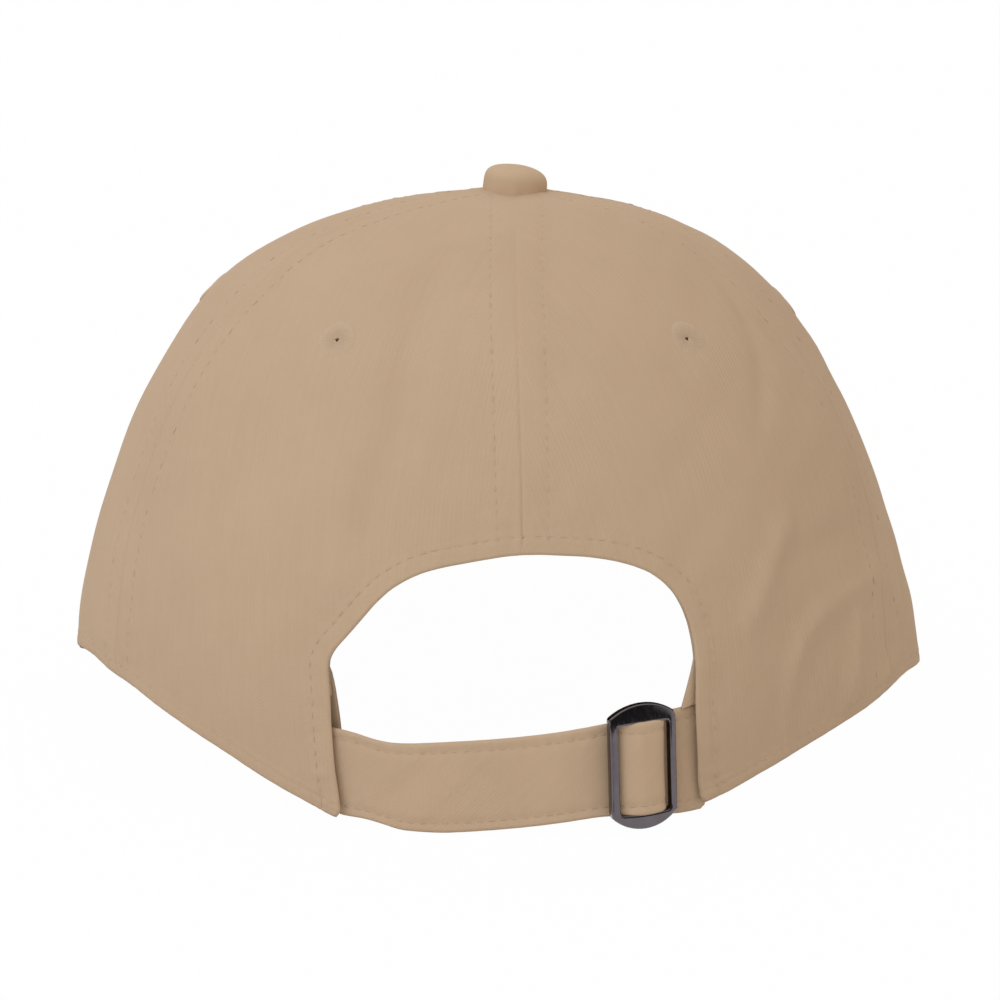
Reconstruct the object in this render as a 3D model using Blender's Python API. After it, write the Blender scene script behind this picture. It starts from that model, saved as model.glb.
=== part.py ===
"""Six-panel cap with a curved visor, a rear arch opening and a strap with a sliding metal buckle.

Metres, +Z up. The visor points to -Y and the rear arch to +Y. The floor is Z = 0 and the
origin is the bottom centre of the whole cap. The crown's own centre lies at CROWN_Y.
An angle on the crown is measured from centre back, positive towards +X, the wearer's left.
A rise on the crown runs from 0 at the lower edge to 1 at the apex.
"""

import math

import bmesh
import bpy
import numpy as np
from mathutils import Matrix, Vector

MM = 0.001
CLEARANCE = 0.3 * MM
LINING_GAP = 0.6 * MM

# Crown
CROWN_HALF_WIDTH = 97.5 * MM
CROWN_HALF_LENGTH = 92.0 * MM
CROWN_HEIGHT = 129.8 * MM
CROWN_PLAN_POWER = 1.88
CROWN_TOP_POWER = 2.0
CROWN_ROUNDING_RATE = 2.5
CROWN_SIDE_FULLNESS = 2.2
CROWN_BACK_FULLNESS = 2.3
CROWN_FRONT_FULLNESS = 2.0
CROWN_FORWARD_FALL = 0.10
APEX_X = -1.4 * MM
PANEL_THICKNESS = 1.0 * MM
REAR_SEAM_DEG = 67.0
FRONT_SEAM_DEG = 120.0
APEX_HOLE_RADIUS = 2.2 * MM

# Lower edge of the crown
EDGE_BACK_HEIGHT = -3.3 * MM
EDGE_SIDE_HEIGHT = 19.3 * MM
EDGE_PEAK_DEG = 72.0
EDGE_BLEND_START_DEG = 82.0
EDGE_BLEND_END_DEG = 108.0

# Rear arch opening
ARCH_TOP_HEIGHT = 63.5 * MM
ARCH_SHOULDER_HEIGHT = 38.0 * MM
ARCH_SHOULDER_HALF_WIDTH = 40.5 * MM
ARCH_FOOT_HALF_WIDTH = 39.5 * MM
FACING_WIDTH = 9.0 * MM
FACING_THICKNESS = 0.7 * MM
FACING_FOOT_HEIGHT = 28.5 * MM

# Seam tapes and sweatband
TAPE_HALF_WIDTH = 6.0 * MM
TAPE_THICKNESS = 0.8 * MM
TAPE_TOP_RADIUS = 13.5 * MM
TAPE_FOOT = 2.0 * MM
SWEATBAND_HEIGHT = 30.0 * MM
SWEATBAND_THICKNESS = 1.2 * MM
SWEATBAND_FOOT = 1.0 * MM
SWEATBAND_OVERHANG = 2.2 * MM
SWEATBAND_POCKET_DEG = 45.0
SWEATBAND_BLEND_DEG = 27.0

# Eyelets and top button
EYELET_RISE = 0.54
EYELET_ANGLES_DEG = {"rear": 36.0, "side": 93.5, "front": 150.0}
EYELET_OUTER_RADIUS = 4.1 * MM
EYELET_BORE_RADIUS = 1.3 * MM
EYELET_BARREL_RADIUS = 2.5 * MM
EYELET_PROUD = 0.8 * MM
EYELET_ROUNDING = 0.3 * MM
EYELET_MOUTH_FLARE = 0.2 * MM
HOLE_CUTTER_REACH = 10.0 * MM
BUTTON_RADIUS = 7.6 * MM
BUTTON_HEIGHT = 5.8 * MM
BUTTON_COVER_THICKNESS = 0.8 * MM
BUTTON_DOME_POWER = 0.8
BUTTON_SOCKET_ROOF = 1.6 * MM
RIVET_RADIUS = 1.4 * MM
RIVET_WASHER_RADIUS = 6.0 * MM
RIVET_WASHER_THICKNESS = 0.8 * MM

# Visor
VISOR_PROJECTION = 68.0 * MM
VISOR_ROOT_DEG = 112.0
VISOR_ARCH_RADIUS = 175.0 * MM
VISOR_FALL = 0.177
VISOR_OUTLINE_POWER = 2.3
VISOR_CORNER_WIDTH = 2.4 * MM
VISOR_BOARD_THICKNESS = 1.8 * MM
VISOR_COVER_THICKNESS = 0.8 * MM
VISOR_SEAT_GAP = 0.7 * MM

# Strap
STRAP_WIDTH = 20.0 * MM
STRAP_THICKNESS = 1.2 * MM
STRAP_TILT_DEG = 3.5
STRAP_DEPTH = 1.9 * MM
STRAP_LEFT_TUCK = 6.5 * MM
STRAP_RIGHT_TUCK = 6.5 * MM
STRAP_EDGE_COVER = 1.0 * MM
KEEPER_RADIUS = 0.5 * MM

# Sliding buckle
BUCKLE_HALF_WIDTH = 7.6 * MM
BUCKLE_HALF_HEIGHT = 14.2 * MM
WINDOW_HALF_WIDTH = 4.8 * MM
WINDOW_HALF_HEIGHT = 12.1 * MM
BUCKLE_DEPTH = 2.4 * MM
BUCKLE_LIFT = 0.8 * MM
BUCKLE_REST_X = -30.5 * MM
BUCKLE_BEVEL = 0.5 * MM
BUCKLE_SIDE_POWER = 6.0
BUCKLE_END_POWER = 2.2
WINDOW_END_POWER = 2.6
CENTRE_BAR_RADIUS = 0.8 * MM
END_LOOP_THICKNESS = 0.6 * MM
BIGHT_THICKNESS = 1.1 * MM
BIGHT_HALF_WIDTH = 3.6 * MM
BIGHT_POWER = 0.7
END_LOOP_OPENING_DEG = 36.0

# Colours: linear RGB, roughness, metallic
FABRIC_COLOUR = (0.50, 0.36, 0.24)
INNER_COLOUR = (0.46, 0.33, 0.22)
BOARD_COLOUR = (0.80, 0.78, 0.72)
GUNMETAL_COLOUR = (0.10, 0.095, 0.10)
FINISHES = {
    "twill": (FABRIC_COLOUR, 0.9, 0.0),
    "inner_cloth": (INNER_COLOUR, 0.92, 0.0),
    "thread": ((0.55, 0.40, 0.27), 0.7, 0.0),
    "visor_board": (BOARD_COLOUR, 0.6, 0.0),
    "gunmetal": (GUNMETAL_COLOUR, 0.28, 1.0),
    "rivet_metal": ((0.55, 0.55, 0.53), 0.35, 1.0),
}

SMOOTH_DEG = 35.0


def signed_power(value, power):
    return math.copysign(abs(value) ** power, value)


def ease(value):
    value = min(max(value, 0.0), 1.0)
    return value * value * (3.0 - 2.0 * value)


def plan_point(angle, power):
    """Point of the crown's plan outline, about the crown's own centre."""
    x = CROWN_HALF_WIDTH * signed_power(math.sin(angle), 2.0 / power)
    y = CROWN_HALF_LENGTH * signed_power(math.cos(angle), 2.0 / power)
    return x, y


def visor_sag(x):
    return VISOR_ARCH_RADIUS - math.sqrt(VISOR_ARCH_RADIUS**2 - x**2)


def visor_outline(turn):
    """Plan point of the visor's outer edge, at a turn from -90 to 90 degrees about its root line."""
    root_x, root_y = plan_point(math.radians(VISOR_ROOT_DEG), CROWN_PLAN_POWER)
    half_width = root_x + VISOR_CORNER_WIDTH
    length = CROWN_HALF_LENGTH + VISOR_PROJECTION + root_y
    x = half_width * signed_power(math.sin(turn), 2.0 / VISOR_OUTLINE_POWER)
    y = root_y - length * signed_power(math.cos(turn), 2.0 / VISOR_OUTLINE_POWER)
    return x, y


VISOR_THICKNESS = 2 * VISOR_COVER_THICKNESS + 2 * CLEARANCE + VISOR_BOARD_THICKNESS


def visor_front_height():
    """Height of the visor's top face at its root on the centre line, so that its tips rest on the floor."""
    steps = 45
    lowest = math.inf
    for step in range(-steps, steps + 1):
        x, y = visor_outline(math.radians(90.0 * step / steps))
        lowest = min(lowest, (y + CROWN_HALF_LENGTH) * VISOR_FALL - visor_sag(x))
    return VISOR_THICKNESS - lowest


VISOR_FRONT_HEIGHT = visor_front_height()


def visor_height(x, y):
    """Height of the visor's top face over a plan point about the crown's centre."""
    return VISOR_FRONT_HEIGHT + (y + CROWN_HALF_LENGTH) * VISOR_FALL - visor_sag(x)


def edge_height(angle):
    """Height of the crown's lower edge: low behind, high at the sides, seated on the visor in front."""
    degrees = abs(math.degrees(angle))
    wave = math.sin(math.radians(90.0 * degrees / EDGE_PEAK_DEG)) ** 2
    side = EDGE_BACK_HEIGHT + (EDGE_SIDE_HEIGHT - EDGE_BACK_HEIGHT) * wave
    x, y = plan_point(angle, CROWN_PLAN_POWER)
    front = visor_height(x, y) + VISOR_SEAT_GAP
    blend = ease((degrees - EDGE_BLEND_START_DEG) / (EDGE_BLEND_END_DEG - EDGE_BLEND_START_DEG))
    return side + (front - side) * blend


def fullness(angle):
    toward = math.cos(angle)
    end = CROWN_BACK_FULLNESS if toward > 0 else CROWN_FRONT_FULLNESS
    return CROWN_SIDE_FULLNESS + (end - CROWN_SIDE_FULLNESS) * toward**2


def outer_point(angle, rise):
    """Point of the crown's outer surface, about the crown's own centre."""
    rise = min(max(rise, 0.0), 1.0)
    tilt = rise * math.pi / 2.0
    power = CROWN_PLAN_POWER + (CROWN_TOP_POWER - CROWN_PLAN_POWER) * min(CROWN_ROUNDING_RATE * rise, 1.0)
    x, y = plan_point(angle, power)
    exponent = 2.0 / fullness(angle)
    reach = max(math.cos(tilt), 0.0) ** exponent
    lift = math.sin(tilt) ** exponent
    base = edge_height(angle)
    across = APEX_X * (1.0 - reach) + x * reach
    along = y * reach
    height = base + (CROWN_HEIGHT - base) * lift + CROWN_FORWARD_FALL * along * lift**3
    return Vector((across, along, height))


def surface_normal(angle, rise):
    step = 0.002
    low = min(max(rise - step, 0.0), 1.0 - 2.0 * step)
    along = outer_point(angle + step, rise) - outer_point(angle - step, rise)
    up = outer_point(angle, low + 2.0 * step) - outer_point(angle, low)
    return up.cross(along).normalized()


def strap_circle():
    """Radius and centre of the arc that fits the crown's plan between the feet of the rear arch."""
    angle = angle_at_foot()
    x, y = plan_point(angle, CROWN_PLAN_POWER)
    depth = CROWN_HALF_LENGTH - y
    radius = (x**2 + depth**2) / (2.0 * depth)
    return radius, CROWN_HALF_LENGTH - radius


def angle_at_foot():
    return math.asin((ARCH_FOOT_HALF_WIDTH / CROWN_HALF_WIDTH) ** (CROWN_PLAN_POWER / 2.0))


STRAP_TILT = math.radians(STRAP_TILT_DEG)
ARC_RADIUS, ARC_CENTRE_Y = strap_circle()
STRAP_OUTER_RADIUS = ARC_RADIUS - STRAP_DEPTH
STRAP_DROP = ARCH_FOOT_HALF_WIDTH * math.sin(STRAP_TILT)
STRAP_CENTRE_HEIGHT = STRAP_WIDTH / 2 * math.cos(STRAP_TILT) + STRAP_DROP
CROWN_Y = (CROWN_HALF_LENGTH + VISOR_PROJECTION - ARC_CENTRE_Y - STRAP_OUTER_RADIUS) / 2.0
RETURN_GAP = 2 * KEEPER_RADIUS + 2 * CLEARANCE
STRAP_STACK = STRAP_DEPTH + 2 * STRAP_THICKNESS + RETURN_GAP


def on_crown(angle, rise, depth=0.0):
    """Point of the crown at a depth under its outer surface, in world coordinates."""
    point = outer_point(angle, rise)
    if depth:
        point = point - surface_normal(angle, rise) * depth
    return point + Vector((0.0, CROWN_Y, 0.0))


def rise_at_height(angle, height):
    """Rise whose height above the crown's lower edge is the given one, leaving out the forward fall."""
    share = max(height, 0.0) / (CROWN_HEIGHT - edge_height(angle))
    return math.asin(min(share, 1.0) ** (fullness(angle) / 2.0)) * 2.0 / math.pi


def radius_at(angle, rise):
    return math.hypot(*(outer_point(angle, rise).xy - Vector((APEX_X, 0.0))))


def rise_at_radius(angle, radius):
    low, high = 0.0, 1.0
    for _ in range(40):
        middle = (low + high) / 2.0
        if radius_at(angle, middle) > radius:
            low = middle
        else:
            high = middle
    return low


def locate(x, z):
    """Angle and rise of the rear wall's point that shows at x and z from behind."""
    angle, rise = 0.0, 0.0
    for _ in range(14):
        rise = bisect(lambda r: outer_point(angle, r).z, z, 0.0, 0.9)
        angle = bisect(lambda a: outer_point(a, rise).x, x, -1.4, 1.4)
    return angle, rise


def bisect(measure, target, low, high):
    if measure(low) >= target:
        return low
    for _ in range(30):
        middle = (low + high) / 2.0
        if measure(middle) < target:
            low = middle
        else:
            high = middle
    return (low + high) / 2.0


def resample(points, count):
    """The polyline's points, spread evenly along its length."""
    points = np.array(points, dtype=float)
    lengths = np.concatenate([[0.0], np.cumsum(np.linalg.norm(np.diff(points, axis=0), axis=1))])
    places = np.linspace(0.0, lengths[-1], count)
    return [tuple(np.interp(place, lengths, points[:, axis]) for axis in range(2)) for place in places]


def arch_outline(count, foot_height):
    """Half of the rear arch, from its top to a foot at the given height, as x and z."""
    steps = 30
    points = []
    for step in range(steps + 1):
        turn = math.radians(90.0 * step / steps)
        x = ARCH_SHOULDER_HALF_WIDTH * math.sin(turn)
        z = ARCH_SHOULDER_HEIGHT + (ARCH_TOP_HEIGHT - ARCH_SHOULDER_HEIGHT) * math.cos(turn)
        points.append((x, z))
    foot = edge_height(angle_at_foot())
    share = (ARCH_SHOULDER_HEIGHT - foot_height) / (ARCH_SHOULDER_HEIGHT - foot)
    foot_x = ARCH_SHOULDER_HALF_WIDTH + (ARCH_FOOT_HALF_WIDTH - ARCH_SHOULDER_HALF_WIDTH) * share
    points.append((foot_x, foot_height))
    return resample(points, count)


def finish(name):
    material = bpy.data.materials.get(name)
    if material:
        return material
    colour, roughness, metallic = FINISHES[name]
    material = bpy.data.materials.new(name)
    material.use_nodes = True
    shader = material.node_tree.nodes["Principled BSDF"]
    shader.inputs["Base Color"].default_value = (*colour, 1.0)
    shader.inputs["Roughness"].default_value = roughness
    shader.inputs["Metallic"].default_value = metallic
    return material


def add_object(name, mesh_data, finish_name, parent=None):
    """An object from a bmesh, with its faces turned outwards and its round faces shaded smooth."""
    bmesh.ops.recalc_face_normals(mesh_data, faces=mesh_data.faces)
    if mesh_data.calc_volume(signed=True) < 0:
        bmesh.ops.reverse_faces(mesh_data, faces=mesh_data.faces)
    mesh = bpy.data.meshes.new(name)
    mesh_data.to_mesh(mesh)
    mesh_data.free()
    mesh.shade_smooth()
    mesh.set_sharp_from_angle(angle=math.radians(SMOOTH_DEG))
    mesh.materials.append(finish(finish_name))
    obj = bpy.data.objects.new(name, mesh)
    bpy.context.scene.collection.objects.link(obj)
    obj.parent = parent
    return obj


def shell(outer, inner):
    """Closed bmesh between two grids of points, given row by row."""
    mesh_data = bmesh.new()
    walls = [[[mesh_data.verts.new(p) for p in row] for row in grid] for grid in (outer, inner)]
    rows, columns = len(outer), len(outer[0])
    for grid in walls:
        for i in range(rows - 1):
            for j in range(columns - 1):
                mesh_data.faces.new((grid[i][j], grid[i][j + 1], grid[i + 1][j + 1], grid[i + 1][j]))
    border = [(0, j) for j in range(columns)] + [(i, columns - 1) for i in range(1, rows)]
    border += [(rows - 1, j) for j in range(columns - 2, -1, -1)] + [(i, 0) for i in range(rows - 2, 0, -1)]
    top, bottom = walls
    for (i, j), (k, m) in zip(border, border[1:] + border[:1]):
        mesh_data.faces.new((top[i][j], top[k][m], bottom[k][m], bottom[i][j]))
    return mesh_data


def sweep(sections, closed=False):
    """Closed bmesh through a row of loops of points, with ends filled unless the row closes."""
    mesh_data = bmesh.new()
    loops = [[mesh_data.verts.new(p) for p in section] for section in sections]
    size = len(loops[0])
    pairs = list(zip(loops, loops[1:] + loops[:1])) if closed else list(zip(loops, loops[1:]))
    for first, second in pairs:
        for k in range(size):
            after = (k + 1) % size
            mesh_data.faces.new((first[k], first[after], second[after], second[k]))
    if not closed:
        mesh_data.faces.new(loops[0])
        mesh_data.faces.new(loops[-1])
    return mesh_data


def lathe(profile, steps=20):
    """Closed bmesh turned about Z from a closed profile of radius and height, off the axis."""
    sections = []
    for step in range(steps):
        turn = 2.0 * math.pi * step / steps
        sections.append([(r * math.cos(turn), r * math.sin(turn), h) for r, h in profile])
    return sweep(sections, closed=True)


def lathe_on_axis(profile, steps=24):
    """Closed bmesh turned about Z from an open profile whose two ends lie on the axis."""
    mesh_data = bmesh.new()
    verts = [mesh_data.verts.new((r, 0.0, h)) for r, h in profile]
    edges = [mesh_data.edges.new(pair) for pair in zip(verts, verts[1:])]
    bmesh.ops.spin(
        mesh_data,
        geom=verts + edges,
        angle=2.0 * math.pi,
        steps=steps,
        axis=(0.0, 0.0, 1.0),
        cent=(0.0, 0.0, 0.0),
        use_merge=True,
    )
    bmesh.ops.remove_doubles(mesh_data, verts=mesh_data.verts, dist=0.001 * MM)
    return mesh_data


def frame_at(place, up, side):
    """Frame at a world point, whose +Z is the direction up and whose +X lies along side."""
    up = up.normalized()
    side = (side - up * side.dot(up)).normalized()
    frame = Matrix((side, up.cross(side), up)).transposed().to_4x4()
    frame.translation = place
    return frame


def seat(angle, rise):
    """Frame whose +Z is the crown's outward normal, at a point of its outer surface."""
    up = surface_normal(angle, rise)
    return frame_at(on_crown(angle, rise), up, Vector((0.0, 0.0, 1.0)).cross(up))


def apex_seat():
    up = Vector((0.0, -CROWN_FORWARD_FALL, 1.0))
    return frame_at(on_crown(0.0, 1.0), up, Vector((1.0, 0.0, 0.0)))


# Crown panels


def seam_gap(angle, rise):
    """Half of the gap between two panels, as an angle."""
    return 0.5 * CLEARANCE / max(radius_at(angle, rise), APEX_HOLE_RADIUS)


def plain_panel(start_deg, end_deg, columns=8, rows=14):
    """Rows of angle and rise over a panel with two seams and a lower edge."""
    grid = []
    start, end = math.radians(start_deg), math.radians(end_deg)
    for i in range(rows + 1):
        row = []
        for j in range(columns + 1):
            angle = start + (end - start) * j / columns
            top = rise_at_radius(angle, APEX_HOLE_RADIUS)
            rise = top * (i / rows)
            gap = seam_gap(angle, rise) * (1.0 - 2.0 * j / columns)
            row.append((angle + gap, rise))
        grid.append(row)
    return grid


def to_sheet(angle, rise):
    """Unrolled place: the apex in the middle, the lower edge at 1."""
    return Vector(((1.0 - rise) * math.sin(angle), (1.0 - rise) * math.cos(angle)))


def from_sheet(place):
    return math.atan2(place.x, place.y), 1.0 - place.length


def rear_panel_grid(columns=12, rows=13):
    """Rows of angle and rise from centre back and the arch round to the side seam."""
    seam = math.radians(REAR_SEAM_DEG)
    gap = CLEARANCE / 2.0
    foot = angle_at_foot()
    arch = [locate(max(x, gap), z) for x, z in arch_outline(rows + 1, edge_height(foot))]
    arch[-1] = (foot, 0.0)
    top_rise = rise_at_radius(0.0, APEX_HOLE_RADIUS)
    seam_rises = [top_rise * (1.0 - i / rows) for i in range(rows + 1)]
    far = [(seam - seam_gap(seam, r), r) for r in seam_rises]
    near_top = [(seam_gap(0.0, r), r) for r in
                [arch[0][1] + (top_rise - arch[0][1]) * j / columns for j in range(columns + 1)]]
    low = [(foot + (far[-1][0] - foot) * j / columns, 0.0) for j in range(columns + 1)]
    far[0] = near_top[-1]
    near_edge = [to_sheet(*p) for p in arch]
    far_edge = [to_sheet(*p) for p in far]
    top_edge = [to_sheet(*p) for p in near_top]
    low_edge = [to_sheet(*p) for p in low]
    grid = []
    for i in range(rows + 1):
        v = i / rows
        row = []
        for j in range(columns + 1):
            u = j / columns
            ruled = near_edge[i] * (1 - u) + far_edge[i] * u + top_edge[j] * (1 - v) + low_edge[j] * v
            corners = near_edge[0] * (1 - u) * (1 - v) + far_edge[0] * u * (1 - v)
            corners += near_edge[-1] * (1 - u) * v + far_edge[-1] * u * v
            row.append(from_sheet(ruled - corners))
        grid.append(row)
    return grid


def mirrored(grid):
    return [[(-angle, rise) for angle, rise in row] for row in grid]


def laid_on_crown(grid, depth):
    return [[on_crown(angle, rise, depth) for angle, rise in row] for row in grid]


def make_panel(name, grid, eyelet_angle):
    mesh_data = shell(laid_on_crown(grid, 0.0), laid_on_crown(grid, PANEL_THICKNESS))
    panel = add_object(name, mesh_data, "twill")
    frame = seat(eyelet_angle, EYELET_RISE)
    cutter = make_cutter(name + "_eyelet_hole", EYELET_BARREL_RADIUS + CLEARANCE, frame)
    cut = panel.modifiers.new("eyelet_hole", "BOOLEAN")
    cut.operation = "DIFFERENCE"
    cut.object = cutter
    return panel


def make_cutter(name, radius, frame):
    reach = HOLE_CUTTER_REACH
    profile = [(0.0, -reach), (radius, -reach), (radius, reach), (0.0, reach)]
    cutter = add_object(name, lathe_on_axis(profile, steps=16), "twill")
    cutter.matrix_world = frame
    cutter.hide_render = True
    cutter.display_type = "WIRE"
    return cutter


def make_crown():
    rear = rear_panel_grid()
    side = plain_panel(REAR_SEAM_DEG, FRONT_SEAM_DEG)
    front = plain_panel(FRONT_SEAM_DEG, 180.0)
    for kind, grid in (("rear", rear), ("side", side), ("front", front)):
        angle = math.radians(EYELET_ANGLES_DEG[kind])
        make_panel(f"crown_panel_{kind}_left", grid, angle)
        make_panel(f"crown_panel_{kind}_right", mirrored(grid), -angle)
        for hand, sign in (("left", 1.0), ("right", -1.0)):
            make_eyelet(f"eyelet_{kind}_{hand}", seat(sign * angle, EYELET_RISE))


def make_eyelet(name, frame):
    """Stitched ring that lines the hole and stands a little proud of the panel."""
    low = -PANEL_THICKNESS - CLEARANCE
    lip = CLEARANCE
    top = CLEARANCE + EYELET_PROUD
    crest = (EYELET_BORE_RADIUS + EYELET_OUTER_RADIUS) / 2.0
    profile = [
        (EYELET_BORE_RADIUS, low),
        (EYELET_BARREL_RADIUS, low),
        (EYELET_BARREL_RADIUS, lip),
        (EYELET_OUTER_RADIUS, lip),
        (EYELET_OUTER_RADIUS - EYELET_ROUNDING, lip + 0.5 * EYELET_PROUD),
        (crest, top),
        (EYELET_BORE_RADIUS + EYELET_MOUTH_FLARE, top - EYELET_ROUNDING),
    ]
    mesh_data = lathe(profile, steps=16)
    bmesh.ops.transform(mesh_data, matrix=frame, verts=mesh_data.verts)
    return add_object(name, mesh_data, "thread")


# Button


def dome(radius, height, foot, steps=7):
    """Profile points of a flattened dome, from its rim up to its top on the axis."""
    points = []
    for step in range(steps + 1):
        turn = math.radians(90.0 * step / steps)
        out = math.cos(turn) ** BUTTON_DOME_POWER
        up = math.sin(turn) ** BUTTON_DOME_POWER
        points.append((radius * out, foot + (height - foot) * up))
    points[-1] = (0.0, height)
    return points


def make_button():
    frame = apex_seat()
    foot = CLEARANCE
    inner_radius = BUTTON_RADIUS - BUTTON_COVER_THICKNESS
    inner_height = BUTTON_HEIGHT - BUTTON_COVER_THICKNESS
    cover = dome(BUTTON_RADIUS, BUTTON_HEIGHT, foot)[::-1] + dome(inner_radius, inner_height, foot)
    shell_radius = inner_radius - CLEARANCE
    shell_height = inner_height - CLEARANCE
    socket = RIVET_RADIUS + CLEARANCE
    socket_top = shell_height - BUTTON_SOCKET_ROOF
    core = dome(shell_radius, shell_height, foot)[::-1]
    core += [(socket, foot), (socket, socket_top), (0.0, socket_top)]
    washer_top = -PANEL_THICKNESS - LINING_GAP
    washer_low = washer_top - RIVET_WASHER_THICKNESS
    rivet = [
        (0.0, socket_top - CLEARANCE),
        (RIVET_RADIUS, socket_top - CLEARANCE),
        (RIVET_RADIUS, washer_top),
        (RIVET_WASHER_RADIUS, washer_top),
        (RIVET_WASHER_RADIUS, washer_low),
        (0.0, washer_low),
    ]
    pieces = (
        ("button_cover", cover, "twill"),
        ("button_shell", core, "rivet_metal"),
        ("button_rivet", rivet, "rivet_metal"),
    )
    for name, profile, finish_name in pieces:
        mesh_data = lathe_on_axis(profile)
        bmesh.ops.transform(mesh_data, matrix=frame, verts=mesh_data.verts)
        add_object(name, mesh_data, finish_name)


# Inside of the crown


def make_seam_tape(name, seam_deg, foot_rise):
    """Folded tape over the inside of a seam."""
    seam = math.radians(seam_deg)
    top = rise_at_radius(seam, TAPE_TOP_RADIUS)
    steps = 16
    grid = []
    for i in range(steps + 1):
        rise = foot_rise + (top - foot_rise) * i / steps
        spread = TAPE_HALF_WIDTH / radius_at(seam, rise)
        grid.append([(seam + spread * side, rise) for side in (-1.0, 0.0, 1.0)])
    outer = laid_on_crown(grid, PANEL_THICKNESS + LINING_GAP)
    inner = laid_on_crown(grid, PANEL_THICKNESS + LINING_GAP + TAPE_THICKNESS)
    add_object(name, shell(outer, inner), "inner_cloth")


def make_seam_tapes():
    seams = {
        "front_centre": 180.0,
        "front_left": FRONT_SEAM_DEG,
        "front_right": -FRONT_SEAM_DEG,
        "rear_left": REAR_SEAM_DEG,
        "rear_right": -REAR_SEAM_DEG,
    }
    for name, degrees in seams.items():
        foot_rise = rise_at_height(math.radians(degrees), TAPE_FOOT)
        make_seam_tape(f"seam_tape_{name}", degrees, foot_rise)
    facing_top = ARCH_TOP_HEIGHT + FACING_WIDTH + 2 * CLEARANCE
    make_seam_tape("seam_tape_rear_centre", 0.0, locate(0.0, facing_top)[1])


def make_arch_facing():
    """Turned-in facing behind the edge of the rear arch, down to the strap on each side."""
    half = arch_outline(12, FACING_FOOT_HEIGHT)
    outline = [(-x, z) for x, z in half[::-1]] + half[1:]
    edge, back = [], []
    for k, (x, z) in enumerate(outline):
        before = outline[max(k - 1, 0)]
        after = outline[min(k + 1, len(outline) - 1)]
        along = Vector((after[0] - before[0], after[1] - before[1])).normalized()
        edge.append(locate_signed(x, z))
        back.append(locate_signed(x - along.y * FACING_WIDTH, z + along.x * FACING_WIDTH))
    middle = [((a + c) / 2.0, (b + d) / 2.0) for (a, b), (c, d) in zip(edge, back)]
    grid = [edge, middle, back]
    outer = laid_on_crown(grid, PANEL_THICKNESS + LINING_GAP)
    inner = laid_on_crown(grid, PANEL_THICKNESS + LINING_GAP + FACING_THICKNESS)
    add_object("rear_arch_facing", shell(outer, inner), "inner_cloth")


def locate_signed(x, z):
    angle, rise = locate(abs(x), z)
    return math.copysign(angle, x), rise


def sweatband_depth(angle):
    """Depth of the band's outer face: near the panels in front, behind the strap's pockets at the rear."""
    plain = PANEL_THICKNESS + TAPE_THICKNESS + 2 * LINING_GAP
    stack = STRAP_STACK if angle < 0 else STRAP_DEPTH + STRAP_THICKNESS
    pocket = stack + 2 * CLEARANCE
    past_pocket = abs(math.degrees(angle)) - SWEATBAND_POCKET_DEG
    blend = ease(1.0 - past_pocket / SWEATBAND_BLEND_DEG)
    return plain + (pocket - plain) * blend


def make_sweatband():
    """One band round the inside of the lower edge, from one foot of the rear arch to the other."""
    overhang = SWEATBAND_OVERHANG / ARC_RADIUS
    end = angle_at_foot() - overhang
    steps = 48
    grids = ([], [])
    for i in range(steps + 1):
        angle = end + (2.0 * math.pi - 2.0 * end) * i / steps
        wrapped = angle if angle <= math.pi else angle - 2.0 * math.pi
        depth = sweatband_depth(wrapped)
        for grid, extra in zip(grids, (0.0, SWEATBAND_THICKNESS)):
            heights = [SWEATBAND_FOOT + SWEATBAND_HEIGHT * share for share in (0.0, 0.5, 1.0)]
            grid.append([on_crown(wrapped, rise_at_height(wrapped, h), depth + extra) for h in heights])
    add_object("sweatband", shell(*grids), "inner_cloth")


# Visor


def visor_stations(count=28):
    """Pairs of plan points across the visor: its root under the crown, and its outer edge."""
    stations = []
    root = math.radians(VISOR_ROOT_DEG)
    for i in range(count + 1):
        share = i / count
        angle = root + (2.0 * math.pi - 2.0 * root) * share
        wrapped = angle if angle <= math.pi else angle - 2.0 * math.pi
        inside = outer_point(wrapped, 0.0) - surface_normal(wrapped, 0.0) * PANEL_THICKNESS
        turn = math.pi / 2.0 - math.pi * share
        stations.append((Vector(inside.xy), Vector(visor_outline(turn))))
    return stations


def visor_place(station, share, inset, depth):
    """World point at a share of the way from root to edge, or at an inset from the edge."""
    root, edge = station
    across = edge - root
    if inset is not None:
        share = 1.0 - inset / across.length
    plan = root + across * share
    return Vector((plan.x, plan.y + CROWN_Y, visor_height(plan.x, plan.y) - depth))


def visor_plate(name, finish_name, top, thickness, inset, rim=0.0):
    """Plate under the visor's top face, with an optional rim turned down (+) or up (-)."""
    shares = (0.0, 0.2, 0.4, 0.6, 0.8)
    low = top + thickness
    sections = []
    for station in visor_stations():
        upper = [visor_place(station, s, None, top) for s in shares]
        lower = [visor_place(station, s, None, low) for s in reversed(shares)]
        if rim > 0:
            tip = [(inset, top), (inset, low + rim), (inset + thickness, low + rim), (inset + thickness, low)]
        elif rim < 0:
            tip = [(inset + thickness, top), (inset + thickness, top + rim), (inset, top + rim), (inset, low)]
        else:
            tip = [(inset, top), (inset, low)]
        edge = [visor_place(station, None, i, d) for i, d in tip]
        sections.append(upper + edge + lower)
    add_object(name, sweep(sections), finish_name)


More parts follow.
